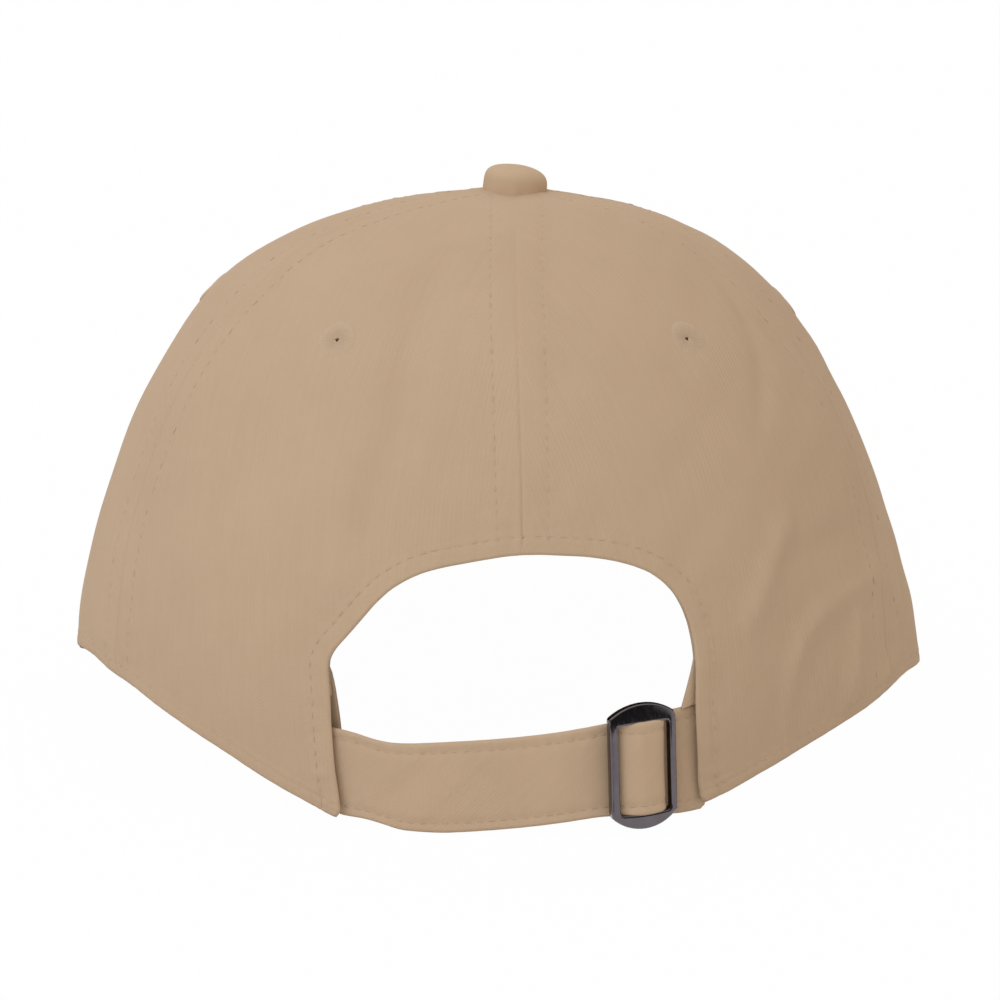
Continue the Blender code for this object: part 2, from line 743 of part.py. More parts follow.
def make_visor():
    board_top = VISOR_COVER_THICKNESS + CLEARANCE
    board_inset = VISOR_COVER_THICKNESS + CLEARANCE
    under_top = board_top + VISOR_BOARD_THICKNESS + CLEARANCE
    rim = (VISOR_BOARD_THICKNESS + CLEARANCE) / 2
    visor_plate("visor_top_cover", "twill", 0.0, VISOR_COVER_THICKNESS, 0.0, rim)
    visor_plate("visor_board", "visor_board", board_top, VISOR_BOARD_THICKNESS, board_inset)
    visor_plate("visor_under_cover", "twill", under_top, VISOR_COVER_THICKNESS, 0.0, -rim)


# Strap and buckle


def make_strap_axis():
    """Empty on the axis of the strap's arc, about which the buckle slides."""
    axis = bpy.data.objects.new("strap_axis", None)
    bpy.context.scene.collection.objects.link(axis)
    axis.location = (0.0, CROWN_Y + ARC_CENTRE_Y, STRAP_CENTRE_HEIGHT)
    axis.rotation_euler = (0.0, STRAP_TILT, 0.0)
    return axis


def on_arc(turn, height, width):
    """Point over the strap's arc: turn about the axis towards +X, height over its outer face, place across it."""
    radius = STRAP_OUTER_RADIUS + height
    return Vector((radius * math.sin(turn), radius * math.cos(turn), width))


def strap_low(turn):
    """Lower edge across the strap: raised where it is tucked in, so that the crown's edge covers it."""
    place = on_arc(turn, 0.0, 0.0)
    if abs(place.x) <= ARCH_FOOT_HALF_WIDTH:
        return -STRAP_WIDTH / 2
    angle = math.asin(min(abs(place.x) / CROWN_HALF_WIDTH, 1.0) ** (CROWN_PLAN_POWER / 2.0))
    cover = edge_height(angle) + STRAP_EDGE_COVER - STRAP_CENTRE_HEIGHT + place.x * math.sin(STRAP_TILT)
    return max(-STRAP_WIDTH / 2, cover)


def ribbon(path, thickness, low_of=None):
    """Sections of a band of the strap's width along a path of turn and height."""
    sections = []
    half = thickness / 2.0
    for k, (turn, height) in enumerate(path):
        before, after = path[max(k - 1, 0)], path[min(k + 1, len(path) - 1)]
        along = Vector(((after[0] - before[0]) * STRAP_OUTER_RADIUS, after[1] - before[1])).normalized()
        side_turn, side_height = -along.y * half / STRAP_OUTER_RADIUS, along.x * half
        low = low_of(turn) if low_of else -STRAP_WIDTH / 2
        section = []
        for sign, width in ((-1, low), (1, low), (1, STRAP_WIDTH / 2), (-1, STRAP_WIDTH / 2)):
            section.append(on_arc(turn + sign * side_turn, height + sign * side_height, width))
        sections.append(section)
    return sections


def turn_at(x):
    return math.asin(x / STRAP_OUTER_RADIUS)


def make_front_run(axis):
    """Visible run, from its sewn end under the left rear panel to the fold under the right one."""
    start = turn_at(ARCH_FOOT_HALF_WIDTH + STRAP_LEFT_TUCK)
    end = turn_at(-ARCH_FOOT_HALF_WIDTH - STRAP_RIGHT_TUCK)
    steps = 28
    path = [(start + (end - start) * i / steps, -STRAP_THICKNESS / 2) for i in range(steps + 1)]
    add_object("strap_front_run", sweep(ribbon(path, STRAP_THICKNESS, strap_low)), "twill", axis)


def make_return_run(axis):
    """Run that doubles back inside, from the fold round the keeper to the buckle's centre bar."""
    fold = turn_at(-ARCH_FOOT_HALF_WIDTH - STRAP_RIGHT_TUCK) - CLEARANCE / STRAP_OUTER_RADIUS
    low = -STRAP_THICKNESS - RETURN_GAP - STRAP_THICKNESS / 2
    high = -STRAP_THICKNESS / 2
    centre, radius = (low + high) / 2.0, (high - low) / 2.0
    start = turn_at(BUCKLE_REST_X)
    steps = 8
    path = [(start + (fold - start) * i / steps, low) for i in range(steps + 1)]
    for step in range(1, steps + 1):
        bend = math.radians(180.0 * step / steps)
        path.append((fold - radius * math.sin(bend) / STRAP_OUTER_RADIUS, centre - radius * math.cos(bend)))
    add_object("strap_return_run", sweep(ribbon(path, STRAP_THICKNESS, strap_low)), "twill", axis)
    make_keeper(axis, fold, centre)


def make_keeper(axis, fold, height):
    """Short wire bar inside the fold, which holds the strap to the panel."""
    low = strap_low(fold) + CLEARANCE
    place = on_arc(fold, height, 0.0)
    profile = [(0.0, STRAP_WIDTH / 2), (KEEPER_RADIUS, STRAP_WIDTH / 2), (KEEPER_RADIUS, low), (0.0, low)]
    mesh_data = lathe_on_axis(profile, steps=12)
    bmesh.ops.translate(mesh_data, vec=place, verts=mesh_data.verts)
    add_object("strap_keeper_bar", mesh_data, "gunmetal", axis)


def frame_outline(half_width, half_height, end_power, steps=44):
    """Loop with straight sides and arched ends, as places along and across the strap."""
    points = []
    for step in range(steps):
        turn = 2.0 * math.pi * step / steps
        x = half_width * signed_power(math.cos(turn), 2.0 / BUCKLE_SIDE_POWER)
        y = half_height * signed_power(math.sin(turn), 2.0 / end_power)
        points.append((x, y))
    return points


def make_buckle_frame(axis):
    """Metal frame with arched ends and a centre bar, bent to the strap's arc."""
    rest = turn_at(BUCKLE_REST_X)
    bevel = BUCKLE_BEVEL
    low, high = BUCKLE_LIFT, BUCKLE_LIFT + BUCKLE_DEPTH
    rings = []
    for half_width, half_height, power, sign in (
        (BUCKLE_HALF_WIDTH, BUCKLE_HALF_HEIGHT, BUCKLE_END_POWER, -1.0),
        (WINDOW_HALF_WIDTH, WINDOW_HALF_HEIGHT, WINDOW_END_POWER, 1.0),
    ):
        inner = frame_outline(half_width + sign * bevel, half_height + sign * bevel, power)
        plain = frame_outline(half_width, half_height, power)
        rings.append((plain, inner))
    (outer, outer_in), (window, window_out) = rings
    sections = []
    for k in range(len(outer)):
        profile = [
            (outer_in[k], low), (outer[k], low + bevel), (outer[k], high - bevel), (outer_in[k], high),
            (window_out[k], high), (window[k], high - bevel), (window[k], low + bevel), (window_out[k], low),
        ]
        sections.append([on_arc(rest + u / STRAP_OUTER_RADIUS, h, w) for (u, w), h in profile])
    frame = add_object("buckle_frame", sweep(sections, closed=True), "gunmetal", axis)
    bar = make_centre_bar(axis, rest)
    join = frame.modifiers.new("centre_bar", "BOOLEAN")
    join.operation = "UNION"
    join.object = bar


def make_centre_bar(axis, rest):
    reach = (BUCKLE_HALF_HEIGHT + WINDOW_HALF_HEIGHT) / 2.0
    profile = [(0.0, reach), (CENTRE_BAR_RADIUS, reach), (CENTRE_BAR_RADIUS, -reach), (0.0, -reach)]
    mesh_data = lathe_on_axis(profile, steps=12)
    place = on_arc(rest, BUCKLE_LIFT + BUCKLE_DEPTH / 2, 0.0)
    bmesh.ops.translate(mesh_data, vec=place, verts=mesh_data.verts)
    bar = add_object("buckle_centre_bar_shape", mesh_data, "gunmetal", axis)
    bar.hide_render = True
    bar.display_type = "WIRE"
    return bar


def make_end_loop(axis):
    """Strap end sewn round the centre bar."""
    rest = turn_at(BUCKLE_REST_X)
    centre = BUCKLE_LIFT + BUCKLE_DEPTH / 2
    radius = CENTRE_BAR_RADIUS + CLEARANCE + END_LOOP_THICKNESS / 2
    first = END_LOOP_OPENING_DEG / 2.0 - 90.0
    span = 360.0 - END_LOOP_OPENING_DEG
    steps = 16
    path = []
    for step in range(steps + 1):
        turn = math.radians(first + span * step / steps)
        along = -radius * math.cos(turn)
        path.append((rest + along / STRAP_OUTER_RADIUS, centre + radius * math.sin(turn)))
    add_object("strap_end_loop", sweep(ribbon(path, END_LOOP_THICKNESS)), "twill", axis)


def make_bight(axis):
    """Part of the strap that stands out of the buckle's window, over the centre bar."""
    rest = turn_at(BUCKLE_REST_X)
    centre = BUCKLE_LIFT + BUCKLE_DEPTH / 2
    loop_radius = CENTRE_BAR_RADIUS + CLEARANCE + END_LOOP_THICKNESS
    top = centre + loop_radius + CLEARANCE + BIGHT_THICKNESS / 2
    foot = CLEARANCE
    steps = 16
    path = []
    for step in range(steps + 1):
        turn = math.radians(180.0 * step / steps)
        along = -BIGHT_HALF_WIDTH * signed_power(math.cos(turn), BIGHT_POWER)
        height = foot + (top - foot) * math.sin(turn) ** BIGHT_POWER
        path.append((rest + along / STRAP_OUTER_RADIUS, height))
    add_object("strap_bight", sweep(ribbon(path, BIGHT_THICKNESS)), "twill", axis)


def make_strap():
    axis = make_strap_axis()
    make_front_run(axis)
    make_return_run(axis)
    make_buckle_frame(axis)
    make_end_loop(axis)
    make_bight(axis)


def main():
    for obj in list(bpy.data.objects):
        bpy.data.objects.remove(obj, do_unlink=True)
    make_crown()
    make_seam_tapes()
    make_arch_facing()
    make_sweatband()
    make_visor()
    make_button()
    make_strap()


main()
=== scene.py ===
"""Looks of the six-panel cap: twill panels, stitching, eyelets, button, visor, strap and buckle.

Metres, +Z up, the visor towards -Y and the rear arch towards +Y. An angle on the crown is
measured from centre back, positive towards +X, the wearer's left. A rise on the crown runs
from 0 at its lower edge to 1 at the apex. The flat place of a point of cloth is where it lay,
in metres, on the cloth that the piece was cut from.
"""

import math

import bpy
import numpy as np
from mathutils import Matrix, Vector


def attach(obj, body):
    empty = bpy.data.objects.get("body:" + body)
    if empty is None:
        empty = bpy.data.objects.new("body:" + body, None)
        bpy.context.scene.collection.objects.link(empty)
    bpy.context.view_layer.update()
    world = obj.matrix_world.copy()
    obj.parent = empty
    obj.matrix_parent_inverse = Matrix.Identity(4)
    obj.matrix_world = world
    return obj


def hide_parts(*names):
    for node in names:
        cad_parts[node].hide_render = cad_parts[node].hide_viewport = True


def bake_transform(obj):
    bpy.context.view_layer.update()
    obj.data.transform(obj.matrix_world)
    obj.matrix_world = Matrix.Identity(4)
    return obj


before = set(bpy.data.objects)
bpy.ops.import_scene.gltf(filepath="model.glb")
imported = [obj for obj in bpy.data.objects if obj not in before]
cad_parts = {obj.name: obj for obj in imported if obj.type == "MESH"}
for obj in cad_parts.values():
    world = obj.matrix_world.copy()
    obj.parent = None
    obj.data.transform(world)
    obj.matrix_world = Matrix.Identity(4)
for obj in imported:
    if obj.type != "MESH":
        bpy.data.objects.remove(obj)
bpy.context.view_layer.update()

MM = 0.001
HANDS = {"left": 1, "right": -1}

# Crown
CROWN_Y = 34.95 * MM
CROWN_HALF_WIDTH = 97.5 * MM
CROWN_HALF_LENGTH = 92.0 * MM
CROWN_HEIGHT = 129.8 * MM
PLAN_POWER = 1.88
TOP_POWER = 2.0
ROUNDING_RATE = 2.5
SIDE_FULLNESS = 2.2
BACK_FULLNESS = 2.3
FRONT_FULLNESS = 2.0
FORWARD_FALL = 0.10
APEX_X = -1.4 * MM
APEX_HOLE_RADIUS = 2.2 * MM
REAR_SEAM_DEG = 67.0
FRONT_SEAM_DEG = 120.0
EDGE_BACK_HEIGHT = -3.3 * MM
EDGE_SIDE_HEIGHT = 19.3 * MM
EDGE_PEAK_DEG = 72.0
EDGE_BLEND_START_DEG = 82.0
EDGE_BLEND_END_DEG = 108.0
CLOTH_THICKNESS = 1.0 * MM
LINING_GAP = 0.6 * MM
# Rear arch: its feet's eased corners, the height below which it bends to the lower edge, and the least height left
ARCH_CORNER = 1.2 * MM
ARCH_CORNER_HEIGHT = 2.2 * MM
ARCH_FOOT_HEIGHT = 12.0 * MM
ARCH_CLEARANCE = 0.03 * MM

# Soft swells of the worn crown: degrees and rise of each middle, and its height and width in mm
SWELLS = np.array(
    (
        (86.0, 0.0, 1.65, 30.0),
        (88.0, 0.16, -0.47, 30.0),
        (88.0, 0.32, -0.62, 30.0),
        (92.0, 0.48, 1.51, 30.0),
        (96.0, 0.64, 1.85, 30.0),
        (108.0, 0.82, -1.24, 30.0),
        (-86.0, 0.0, 4.68, 30.0),
        (-88.0, 0.16, -1.25, 30.0),
        (-88.0, 0.32, -0.67, 30.0),
        (-92.0, 0.48, -1.05, 30.0),
        (-96.0, 0.64, 1.35, 30.0),
        (-108.0, 0.82, -0.32, 30.0),
        (180.0, 0.93, 0.3, 30.0),
        (0.0, 1.0, -1.2, 30.0),
        (0.0, 1.0, 1.6, 12.0),
        (0.0, 0.96, -0.9, 6.0),
    )
)
# Lean of centre back, in mm along x at heights in mm, fading out within a width on each side
LEAN_HEIGHTS = (45, 60, 66, 77, 88, 99.5, 110.5, 121, 130)
LEAN_SHIFTS = (0, -2.3, -2.2, -1.75, -1.2, -0.6, 0, 0.4, 0)
LEAN_WIDTH = 30.0 * MM
# Unevenness of the lower edge: degrees, and how far it lies above its plain line in mm
EDGE_DEGREES = (-95, -77, -70, -61, -50, -44, -38, -33, -30.5, -29, -20, 20, 26, 27.5, 31, 34, 39, 50, 60, 69, 77, 95)
EDGE_RISES = (
    0, 0.3, -0.3, -0.9, -0.3, 0.6, 0.9, 0.2, 0.2, 0.3, 0, -1.2, -1.2, -0.7, -0.3, 0, 0.6, 0.7, 0.2, -0.4, 0.5, 0.6,
)

# Stops of the rear arch's edge on each side, from its top to its foot: x and z in mm
ARCH_STOPS = {
    1: (
        (-2.3, 63.0), (1.5, 62.6), (7.1, 61.5), (13.7, 60.0), (17.0, 59.1), (20.3, 57.9), (23.5, 56.2), (26.8, 53.9),
        (30.1, 50.5), (33.3, 46.4), (36.5, 42.3), (38.7, 39.6), (40.1, 37.0), (40.0, 34.5), (39.6, 30.4),
        (39.2, 22.5), (38.1, 12.2), (36.8, 3.1), (36.4, 0.0),
    ),
    -1: (
        (-2.3, 63.0), (-6.6, 63.15), (-12.9, 62.9), (-16.4, 62.7), (-19.9, 62.2), (-23.5, 61.5), (-27.2, 60.4),
        (-31.0, 58.8), (-34.7, 56.2), (-37.0, 53.7), (-39.0, 50.2), (-40.4, 46.8), (-41.2, 43.6), (-41.7, 40.8),
        (-41.9, 38.5), (-42.3, 29.4), (-43.5, 15.4), (-44.4, 4.7), (-44.6, 0.0),
    ),
}

# Seams and hems
SEAM_DEGREES = {
    "rear_centre": 0.0,
    "rear_left": REAR_SEAM_DEG,
    "rear_right": -REAR_SEAM_DEG,
    "front_left": FRONT_SEAM_DEG,
    "front_right": -FRONT_SEAM_DEG,
    "front_centre": 180.0,
}
SEAM_STITCH_INSET = 5.6 * MM
HEM_STITCH_INSET = 3.0 * MM
ARCH_STITCH_INSET = 4.0 * MM
STITCH_PITCH = 2.9 * MM
STITCH_LENGTH = 2.2 * MM
STITCH_WIDTH = 0.33 * MM
# Width of the model stitch as a share of its length, and how far stitches stray from their row's direction
STITCH_SHARE = 0.175
STITCH_WANDER = 0.035
SEAM_DOUBLED_HEIGHT = 0.20 * MM
SEAM_DOUBLED_WIDTH = 5.2 * MM
SEAM_GROOVE_WIDTH = 0.38 * MM
SEAM_PRESS_DEPTH = 0.12 * MM
SEAM_PUCKER = 0.06 * MM
HEM_DOUBLED_HEIGHT = 0.24 * MM
HEM_PRESS_DEPTH = 0.20 * MM
HEM_TURN_DEPTH = 0.5 * MM
HEM_PUCKER = 0.07 * MM
# Wavelengths and heights in mm of the cloth's slow unevenness
SLACK_WAVES = ((62.0, 0.30), (47.0, 0.26), (33.0, 0.20), (24.0, 0.13), (15.0, 0.06), (11.0, 0.045))

# Eyelets and button
EYELET_RISES = {1: 0.533, -1: 0.549}
EYELET_DEGREES = {"rear": 36.0, "side": 93.5, "front": 150.0}
EYELET_RADIUS = 2.5 * MM
EYELET_HALF_WIDTH = 2.1 * MM
EYELET_HALF_HEIGHT = 0.42 * MM
EYELET_CUT_RADIUS = 2.3 * MM
EYELET_SINK = 0.20 * MM
EYELET_WRAPS = 34
EYELET_WRAP_DEPTH = 0.20
BUTTON_RADIUS = 7.5 * MM
BUTTON_HEIGHT = 6.75 * MM
BUTTON_SINK = 1.5 * MM
BUTTON_LEAN = -0.085
BUTTON_CUT = 0.20

# Lining
TAPE_HALF_WIDTH = 6.0 * MM
TAPE_THICKNESS = 0.7 * MM
TAPE_TOP_RADIUS = 13.5 * MM
TAPE_FOOT = 2.0 * MM
REAR_TAPE_FOOT = 73.1 * MM
FACING_WIDTH = 10.0 * MM
# Height of the facing's foot on each side, and how far it shows past the panel's edge there
FACING_FEET = {-1: (27.9 * MM, 3.0 * MM), 1: (28.5 * MM, 0.0)}
FACING_SHOULDER = 38.6 * MM
BAND_THICKNESS = 1.2 * MM
BAND_HEIGHT = 32.0 * MM
BAND_FOOT = 1.0 * MM
BAND_SEAM_ROOM = 0.8 * MM
BAND_STRAP_ROOM = 1.9 * MM
BAND_POCKET_DEG = 45.0
BAND_SHIFT_DEG = 27.0

# Visor
VISOR_PROJECTION = 68.0 * MM
VISOR_ROOT_DEG = 112.0
VISOR_ARCH_RADIUS = 175.0 * MM
VISOR_FALL = 0.177
VISOR_OUTLINE_POWER = 2.3
VISOR_CORNER_WIDTH = 2.4 * MM
VISOR_THICKNESS = 4.0 * MM
VISOR_COVER_THICKNESS = 0.8 * MM
VISOR_SEAT_GAP = -0.2 * MM
VISOR_FRONT_HEIGHT = 26.05 * MM
VISOR_STITCH_INSETS = tuple(MM * inset for inset in (5.0, 12.0, 19.0, 26.0, 33.0, 40.0))
VISOR_RIM = 1.1 * MM
VISOR_STITCH_PITCH = 3.2 * MM
VISOR_STITCH_LENGTH = 2.6 * MM
ALLOWANCE_WIDTH = 10.0 * MM
ALLOWANCE_THICKNESS = 0.5 * MM

# Strap, about the axis on which the buckle slides
STRAP_TILT = math.radians(3.5)
STRAP_AXIS = Vector((0.0, 39.038 * MM, 12.3928 * MM))
STRAP_OUTER_RADIUS = 86.012 * MM
STRAP_WIDTH = 20.0 * MM
STRAP_THICKNESS = 1.2 * MM
STRAP_REACH = 46.0 * MM
STRAP_STITCH_INSET = 2.2 * MM
# Pitch, length and width of the strap's stitches
STRAP_STITCH = (2.6 * MM, 2.0 * MM, 0.36 * MM)
# Where the strap's lower edge goes in behind the left and the right panel
STRAP_TUCKS = (37.0 * MM, -44.3 * MM)
RETURN_GAP = 1.6 * MM
RETURN_OVERLAP = 4.5 * MM
RETURN_HEIGHT = -3.0 * MM
BUCKLE_X = -30.5 * MM
BUCKLE_HALF_WIDTH = 7.85 * MM
BUCKLE_LIFT = 0.8 * MM
BUCKLE_DEPTH = 2.4 * MM
# How far the frame's middle lies from the buckle's place, along the strap and across it
BUCKLE_MIDDLE = (0.45 * MM, 1.85 * MM)
BUCKLE_WINDOW_TOP = 9.5 * MM
BUCKLE_WINDOW_SHIFT = 0.3 * MM
BUCKLE_TOP_SLOPE = 0.2
# Half width, foot and top of the straight sides, and how far the lower and the upper end arch out
BUCKLE_OUTLINE = (BUCKLE_HALF_WIDTH, -11.4 * MM, 11.4 * MM, 3.6 * MM, 2.75 * MM)
BUCKLE_WINDOW = (BUCKLE_HALF_WIDTH - 1.75 * MM, -11.3 * MM, BUCKLE_WINDOW_TOP, 0.4 * MM, 0.25 * MM)
CENTRE_BAR_RADIUS = 0.8 * MM
CENTRE_BAR_LENGTH = 22.5 * MM

# Cloth and metal colours, linear
TWILL_LIGHT = (0.545, 0.392, 0.262)
TWILL_DARK = (0.455, 0.318, 0.205)
THREAD_LIGHT = (0.535, 0.385, 0.256)
THREAD_DARK = (0.455, 0.32, 0.209)
LINING_LIGHT = (0.56, 0.405, 0.272)
LINING_DARK = (0.47, 0.335, 0.222)
BOARD_LIGHT = (0.80, 0.78, 0.73)
BOARD_DARK = (0.70, 0.68, 0.62)
GUNMETAL_LIGHT = (0.165, 0.148, 0.158)
GUNMETAL_DARK = (0.115, 0.098, 0.110)
RIVET_LIGHT = (0.60, 0.59, 0.57)
RIVET_DARK = (0.48, 0.47, 0.45)
# Painted light: the strap and the button get a copy of the crown's twill made this much lighter, to lift the shade
# that falls on them
STRAP_PAINTED_LIGHT_GAIN = 1.07

# Studio
WHITE = (1.0, 1.0, 1.0, 1.0)
FLOOR_SIZE = 14.0
FLOOR_COLOUR = (0.82, 0.82, 0.82, 1.0)
FLOOR_GLOW = 0.985
ROOM_COLOUR = (1.0, 0.942, 0.860, 1.0)
ROOM_STRENGTH = 0.772
# The darker part of the room, that only gloss shows: where it sets in along each axis of direction
DARK_EDGES = {"X": (-0.95, -0.86), "Y": (0.1, 0.3), "Z": (0.75, 0.60)}
DARK_SHARE = 0.95
# Name, place, size, power and colour of each lamp
LAMPS = (
    ("key_lamp", (0.75, 0.95, 1.25), 1.3, 11.8, (0.70, 0.823, 1.0)),
    ("front_lamp", (0.2, -1.3, 0.9), 1.2, 2.5, (1.0, 1.0, 1.0)),
)
LAMP_TARGET = Vector((0.0, 0.03, 0.06))
CAMERA_TARGET = Vector((0.0, CROWN_Y, 57.7 * MM))
CAMERA_DISTANCE = 1.2
CAMERA_YAW_DEG = -2.3
CAMERA_TILT_DEG = 14.0
CAMERA_ROLL_DEG = 1.8
CAMERA_SETTINGS = {"lens": 181.44, "sensor_width": 36.0, "shift_x": 0.001, "shift_y": -0.0135, "clip_start": 0.01}


# Shape of the crown


def signed_power(value, power):
    return np.sign(value) * np.abs(value) ** power


def ease(value):
    value = np.clip(value, 0.0, 1.0)
    return value * value * (3.0 - 2.0 * value)


def bell(gap, width):
    return np.exp(-((gap / width) ** 2))


def rounded_between(value, stops, levels, reach):
    """Levels between stops, with the corners at the stops rounded off over a reach."""
    return np.mean([np.interp(value + shift, stops, levels) for shift in np.linspace(-reach, reach, 9)], axis=0)


def side_turned(angle):
    """The same angle, brought between half a turn to each side of centre back."""
    return np.where(angle > math.pi, angle - math.tau, angle)


def plan_point(angle, power):
    x = CROWN_HALF_WIDTH * signed_power(np.sin(angle), 2.0 / power)
    y = CROWN_HALF_LENGTH * signed_power(np.cos(angle), 2.0 / power)
    return x, y


def visor_height(x, y):
    """Height of the visor's top face over a plan point about the crown's centre."""
    sag = VISOR_ARCH_RADIUS - np.sqrt(VISOR_ARCH_RADIUS**2 - x**2)
    return VISOR_FRONT_HEIGHT + (y + CROWN_HALF_LENGTH) * VISOR_FALL - sag


def edge_height(angle):
    """Height of the crown's lower edge: low behind, high at the sides, seated on the visor in front."""
    degrees = np.abs(np.degrees(angle))
    wave = np.sin(np.radians(90.0 * degrees / EDGE_PEAK_DEG)) ** 2
    side = EDGE_BACK_HEIGHT + (EDGE_SIDE_HEIGHT - EDGE_BACK_HEIGHT) * wave
    front = visor_height(*plan_point(angle, PLAN_POWER)) + VISOR_SEAT_GAP
    blend = ease((degrees - EDGE_BLEND_START_DEG) / (EDGE_BLEND_END_DEG - EDGE_BLEND_START_DEG))
    uneven = MM * rounded_between(np.degrees(angle), EDGE_DEGREES, EDGE_RISES, 2.0)
    return side + (front - side) * blend + uneven


def fullness(angle):
    """How boldly the wall bulges on its way up at each angle: 2 for a plain ellipse, more for a fuller one."""
    toward = np.cos(angle)
    end = np.where(toward > 0, BACK_FULLNESS, FRONT_FULLNESS)
    return SIDE_FULLNESS + (end - SIDE_FULLNESS) * toward**2


def even_point(angle, rise):
    """Points of the crown's even outer shape."""
    angle, rise = np.broadcast_arrays(np.asarray(angle, float), np.clip(rise, 0.0, 1.0))
    tilt = rise * math.pi / 2.0
    power = PLAN_POWER + (TOP_POWER - PLAN_POWER) * np.minimum(ROUNDING_RATE * rise, 1.0)
    x, y = plan_point(angle, power)
    exponent = 2.0 / fullness(angle)
    reach = np.maximum(np.cos(tilt), 0.0) ** exponent
    lift = np.sin(tilt) ** exponent
    base = edge_height(angle)
    across = APEX_X * (1.0 - reach) + x * reach
    along = y * reach
    height = base + (CROWN_HEIGHT - base) * lift + FORWARD_FALL * along * lift**3
    return np.stack([across, along + CROWN_Y, height], axis=-1)


def unit(vectors):
    return vectors / np.linalg.norm(vectors, axis=-1, keepdims=True)


SWELL_PLACES = even_point(np.radians(SWELLS[:, 0]), SWELLS[:, 1])


def crown_point(angle, rise):
    """Points of the crown's outer shape with its soft swells."""
    even = even_point(angle, rise)
    half_sizes = np.array((CROWN_HALF_WIDTH, CROWN_HALF_LENGTH, CROWN_HEIGHT))
    outward = (even - (0.0, CROWN_Y, 0.0)) / half_sizes**2
    outward[..., 2] = np.maximum(outward[..., 2], 0.0)
    swell = np.zeros(even.shape[:-1])
    for place, (height, width) in zip(SWELL_PLACES, SWELLS[:, 2:]):
        swell += height * MM * np.exp(-((even - place) ** 2).sum(axis=-1) / (width * MM) ** 2)
    point = even + unit(outward) * swell[..., None]
    lean = MM * np.interp(point[..., 2] / MM, LEAN_HEIGHTS, LEAN_SHIFTS)
    lean *= bell(point[..., 0], LEAN_WIDTH) * ease((point[..., 1] - CROWN_Y) / LEAN_WIDTH)
    point[..., 0] += lean
    return point


def crown_normal(angle, rise):
    step = 0.002
    low = np.clip(np.asarray(rise) - step, 0.0, 1.0 - 2.0 * step)
    along = crown_point(angle + step, rise) - crown_point(angle - step, rise)
    up = crown_point(angle, low + 2.0 * step) - crown_point(angle, low)
    return unit(np.cross(up, along))


def crown_radius(angle, rise):
    """Distance of the crown's plain shape from the upright line through its apex."""
    place = crown_point(angle, rise)
    return np.hypot(place[..., 0] - APEX_X, place[..., 1] - CROWN_Y)


def rise_at_radius(angle, radius):
    low, high = 0.0, 1.0
    for _ in range(40):
        middle = (low + high) / 2.0
        if crown_radius(angle, middle) > radius:
            low = middle
        else:
            high = middle
    return low


def locate(x, z):
    """Angles and rises of the rear wall's points that show at x and z from behind."""
    angle = np.arcsin(np.clip(x / CROWN_HALF_WIDTH, -0.95, 0.95))
    rise = np.clip((z - EDGE_BACK_HEIGHT) / CROWN_HEIGHT * 0.6, 0.02, 0.9)
    step = 1e-4
    for _ in range(25):
        here = crown_point(angle, rise)
        turn = (crown_point(angle + step, rise) - here) / step
        up = (crown_point(angle, rise + step) - here) / step
        miss_x, miss_z = x - here[..., 0], z - here[..., 2]
        scale = turn[..., 0] * up[..., 2] - turn[..., 2] * up[..., 0]
        angle = angle + (miss_x * up[..., 2] - miss_z * up[..., 0]) / scale
        rise = np.clip(rise + (turn[..., 0] * miss_z - turn[..., 2] * miss_x) / scale, 1e-5, 0.95)
    return angle, rise


def foot_angle(side):
    """Angle at which the rear arch meets the lower edge, past its eased corner."""
    x = abs(ARCH_STOPS[side][-1][0]) * MM + ARCH_CORNER
    return side * math.asin((x / CROWN_HALF_WIDTH) ** (PLAN_POWER / 2.0))


def crowd(count, pull=0.8):
    """Shares from 0 to 1 that lie closer together near both ends."""
    share = np.linspace(0.0, 1.0, count)
    return share - pull * np.sin(math.tau * share) / math.tau


def lengths_along(points):
    steps = np.linalg.norm(np.diff(points, axis=0), axis=1)
    return np.concatenate([[0.0], np.cumsum(steps)])


def read_along(places, along, values):
    """Rows of values, known at lengths along a line, read at other places on it."""
    return np.stack([np.interp(places, along, column) for column in values.T], axis=1)


def spread_along(points, shares):
    """Points at the given shares of a line's length."""
    along = lengths_along(points)
    return read_along(shares * along[-1], along, points)


def soft_line(stops, count, passes):
    """Even points along a line through its stops, with the corners softened and the ends kept."""
    line = spread_along(np.array(stops), np.linspace(0.0, 1.0, count))
    for _ in range(passes):
        line[1:-1] = (line[:-2] + 2.0 * line[1:-1] + line[2:]) / 4.0
    return line


def arch_side(side, shares, inset=0.0):
    """Half of the rear arch from its top to its foot, as angle and rise, or a line inside its edge."""
    foot = foot_angle(side)
    line = soft_line(ARCH_STOPS[side], 200, 8) * MM
    line[:, 1] += (edge_height(foot) - line[-1, 1]) * ease(1.0 - line[:, 1] / ARCH_FOOT_HEIGHT)
    line[:, 0] += side * ARCH_CORNER * np.clip(1.0 - (line[:, 1] - line[-1, 1]) / ARCH_CORNER_HEIGHT, 0.0, 1.0) ** 2
    if inset:
        along = unit(np.gradient(line, axis=0))
        line = line + np.stack([-along[:, 1], along[:, 0]], axis=1) * inset * side
    line = spread_along(line, np.asarray(shares))
    angle, rise = locate(line[:, 0], np.maximum(line[:, 1], edge_height(foot) + ARCH_CLEARANCE))
    rise = np.where(line[:, 1] <= edge_height(angle) + ARCH_CLEARANCE, 0.0, rise)
    return angle, rise


# Relief of the sewn cloth


def seam_line(degrees, step=0.6 * MM):
    """Angle and rise along a crown seam, from its foot to the apex hole."""
    seam = math.radians(degrees)
    top = rise_at_radius(seam, APEX_HOLE_RADIUS)
    foot = arch_side(1, [0.0])[1][0] if degrees == 0.0 else 0.0
    rises = np.linspace(foot, top, 400)
    along = lengths_along(crown_point(seam, rises))
    count = int(along[-1] / step)
    return np.full(count, seam), np.interp(np.linspace(0.0, along[-1], count), along, rises)


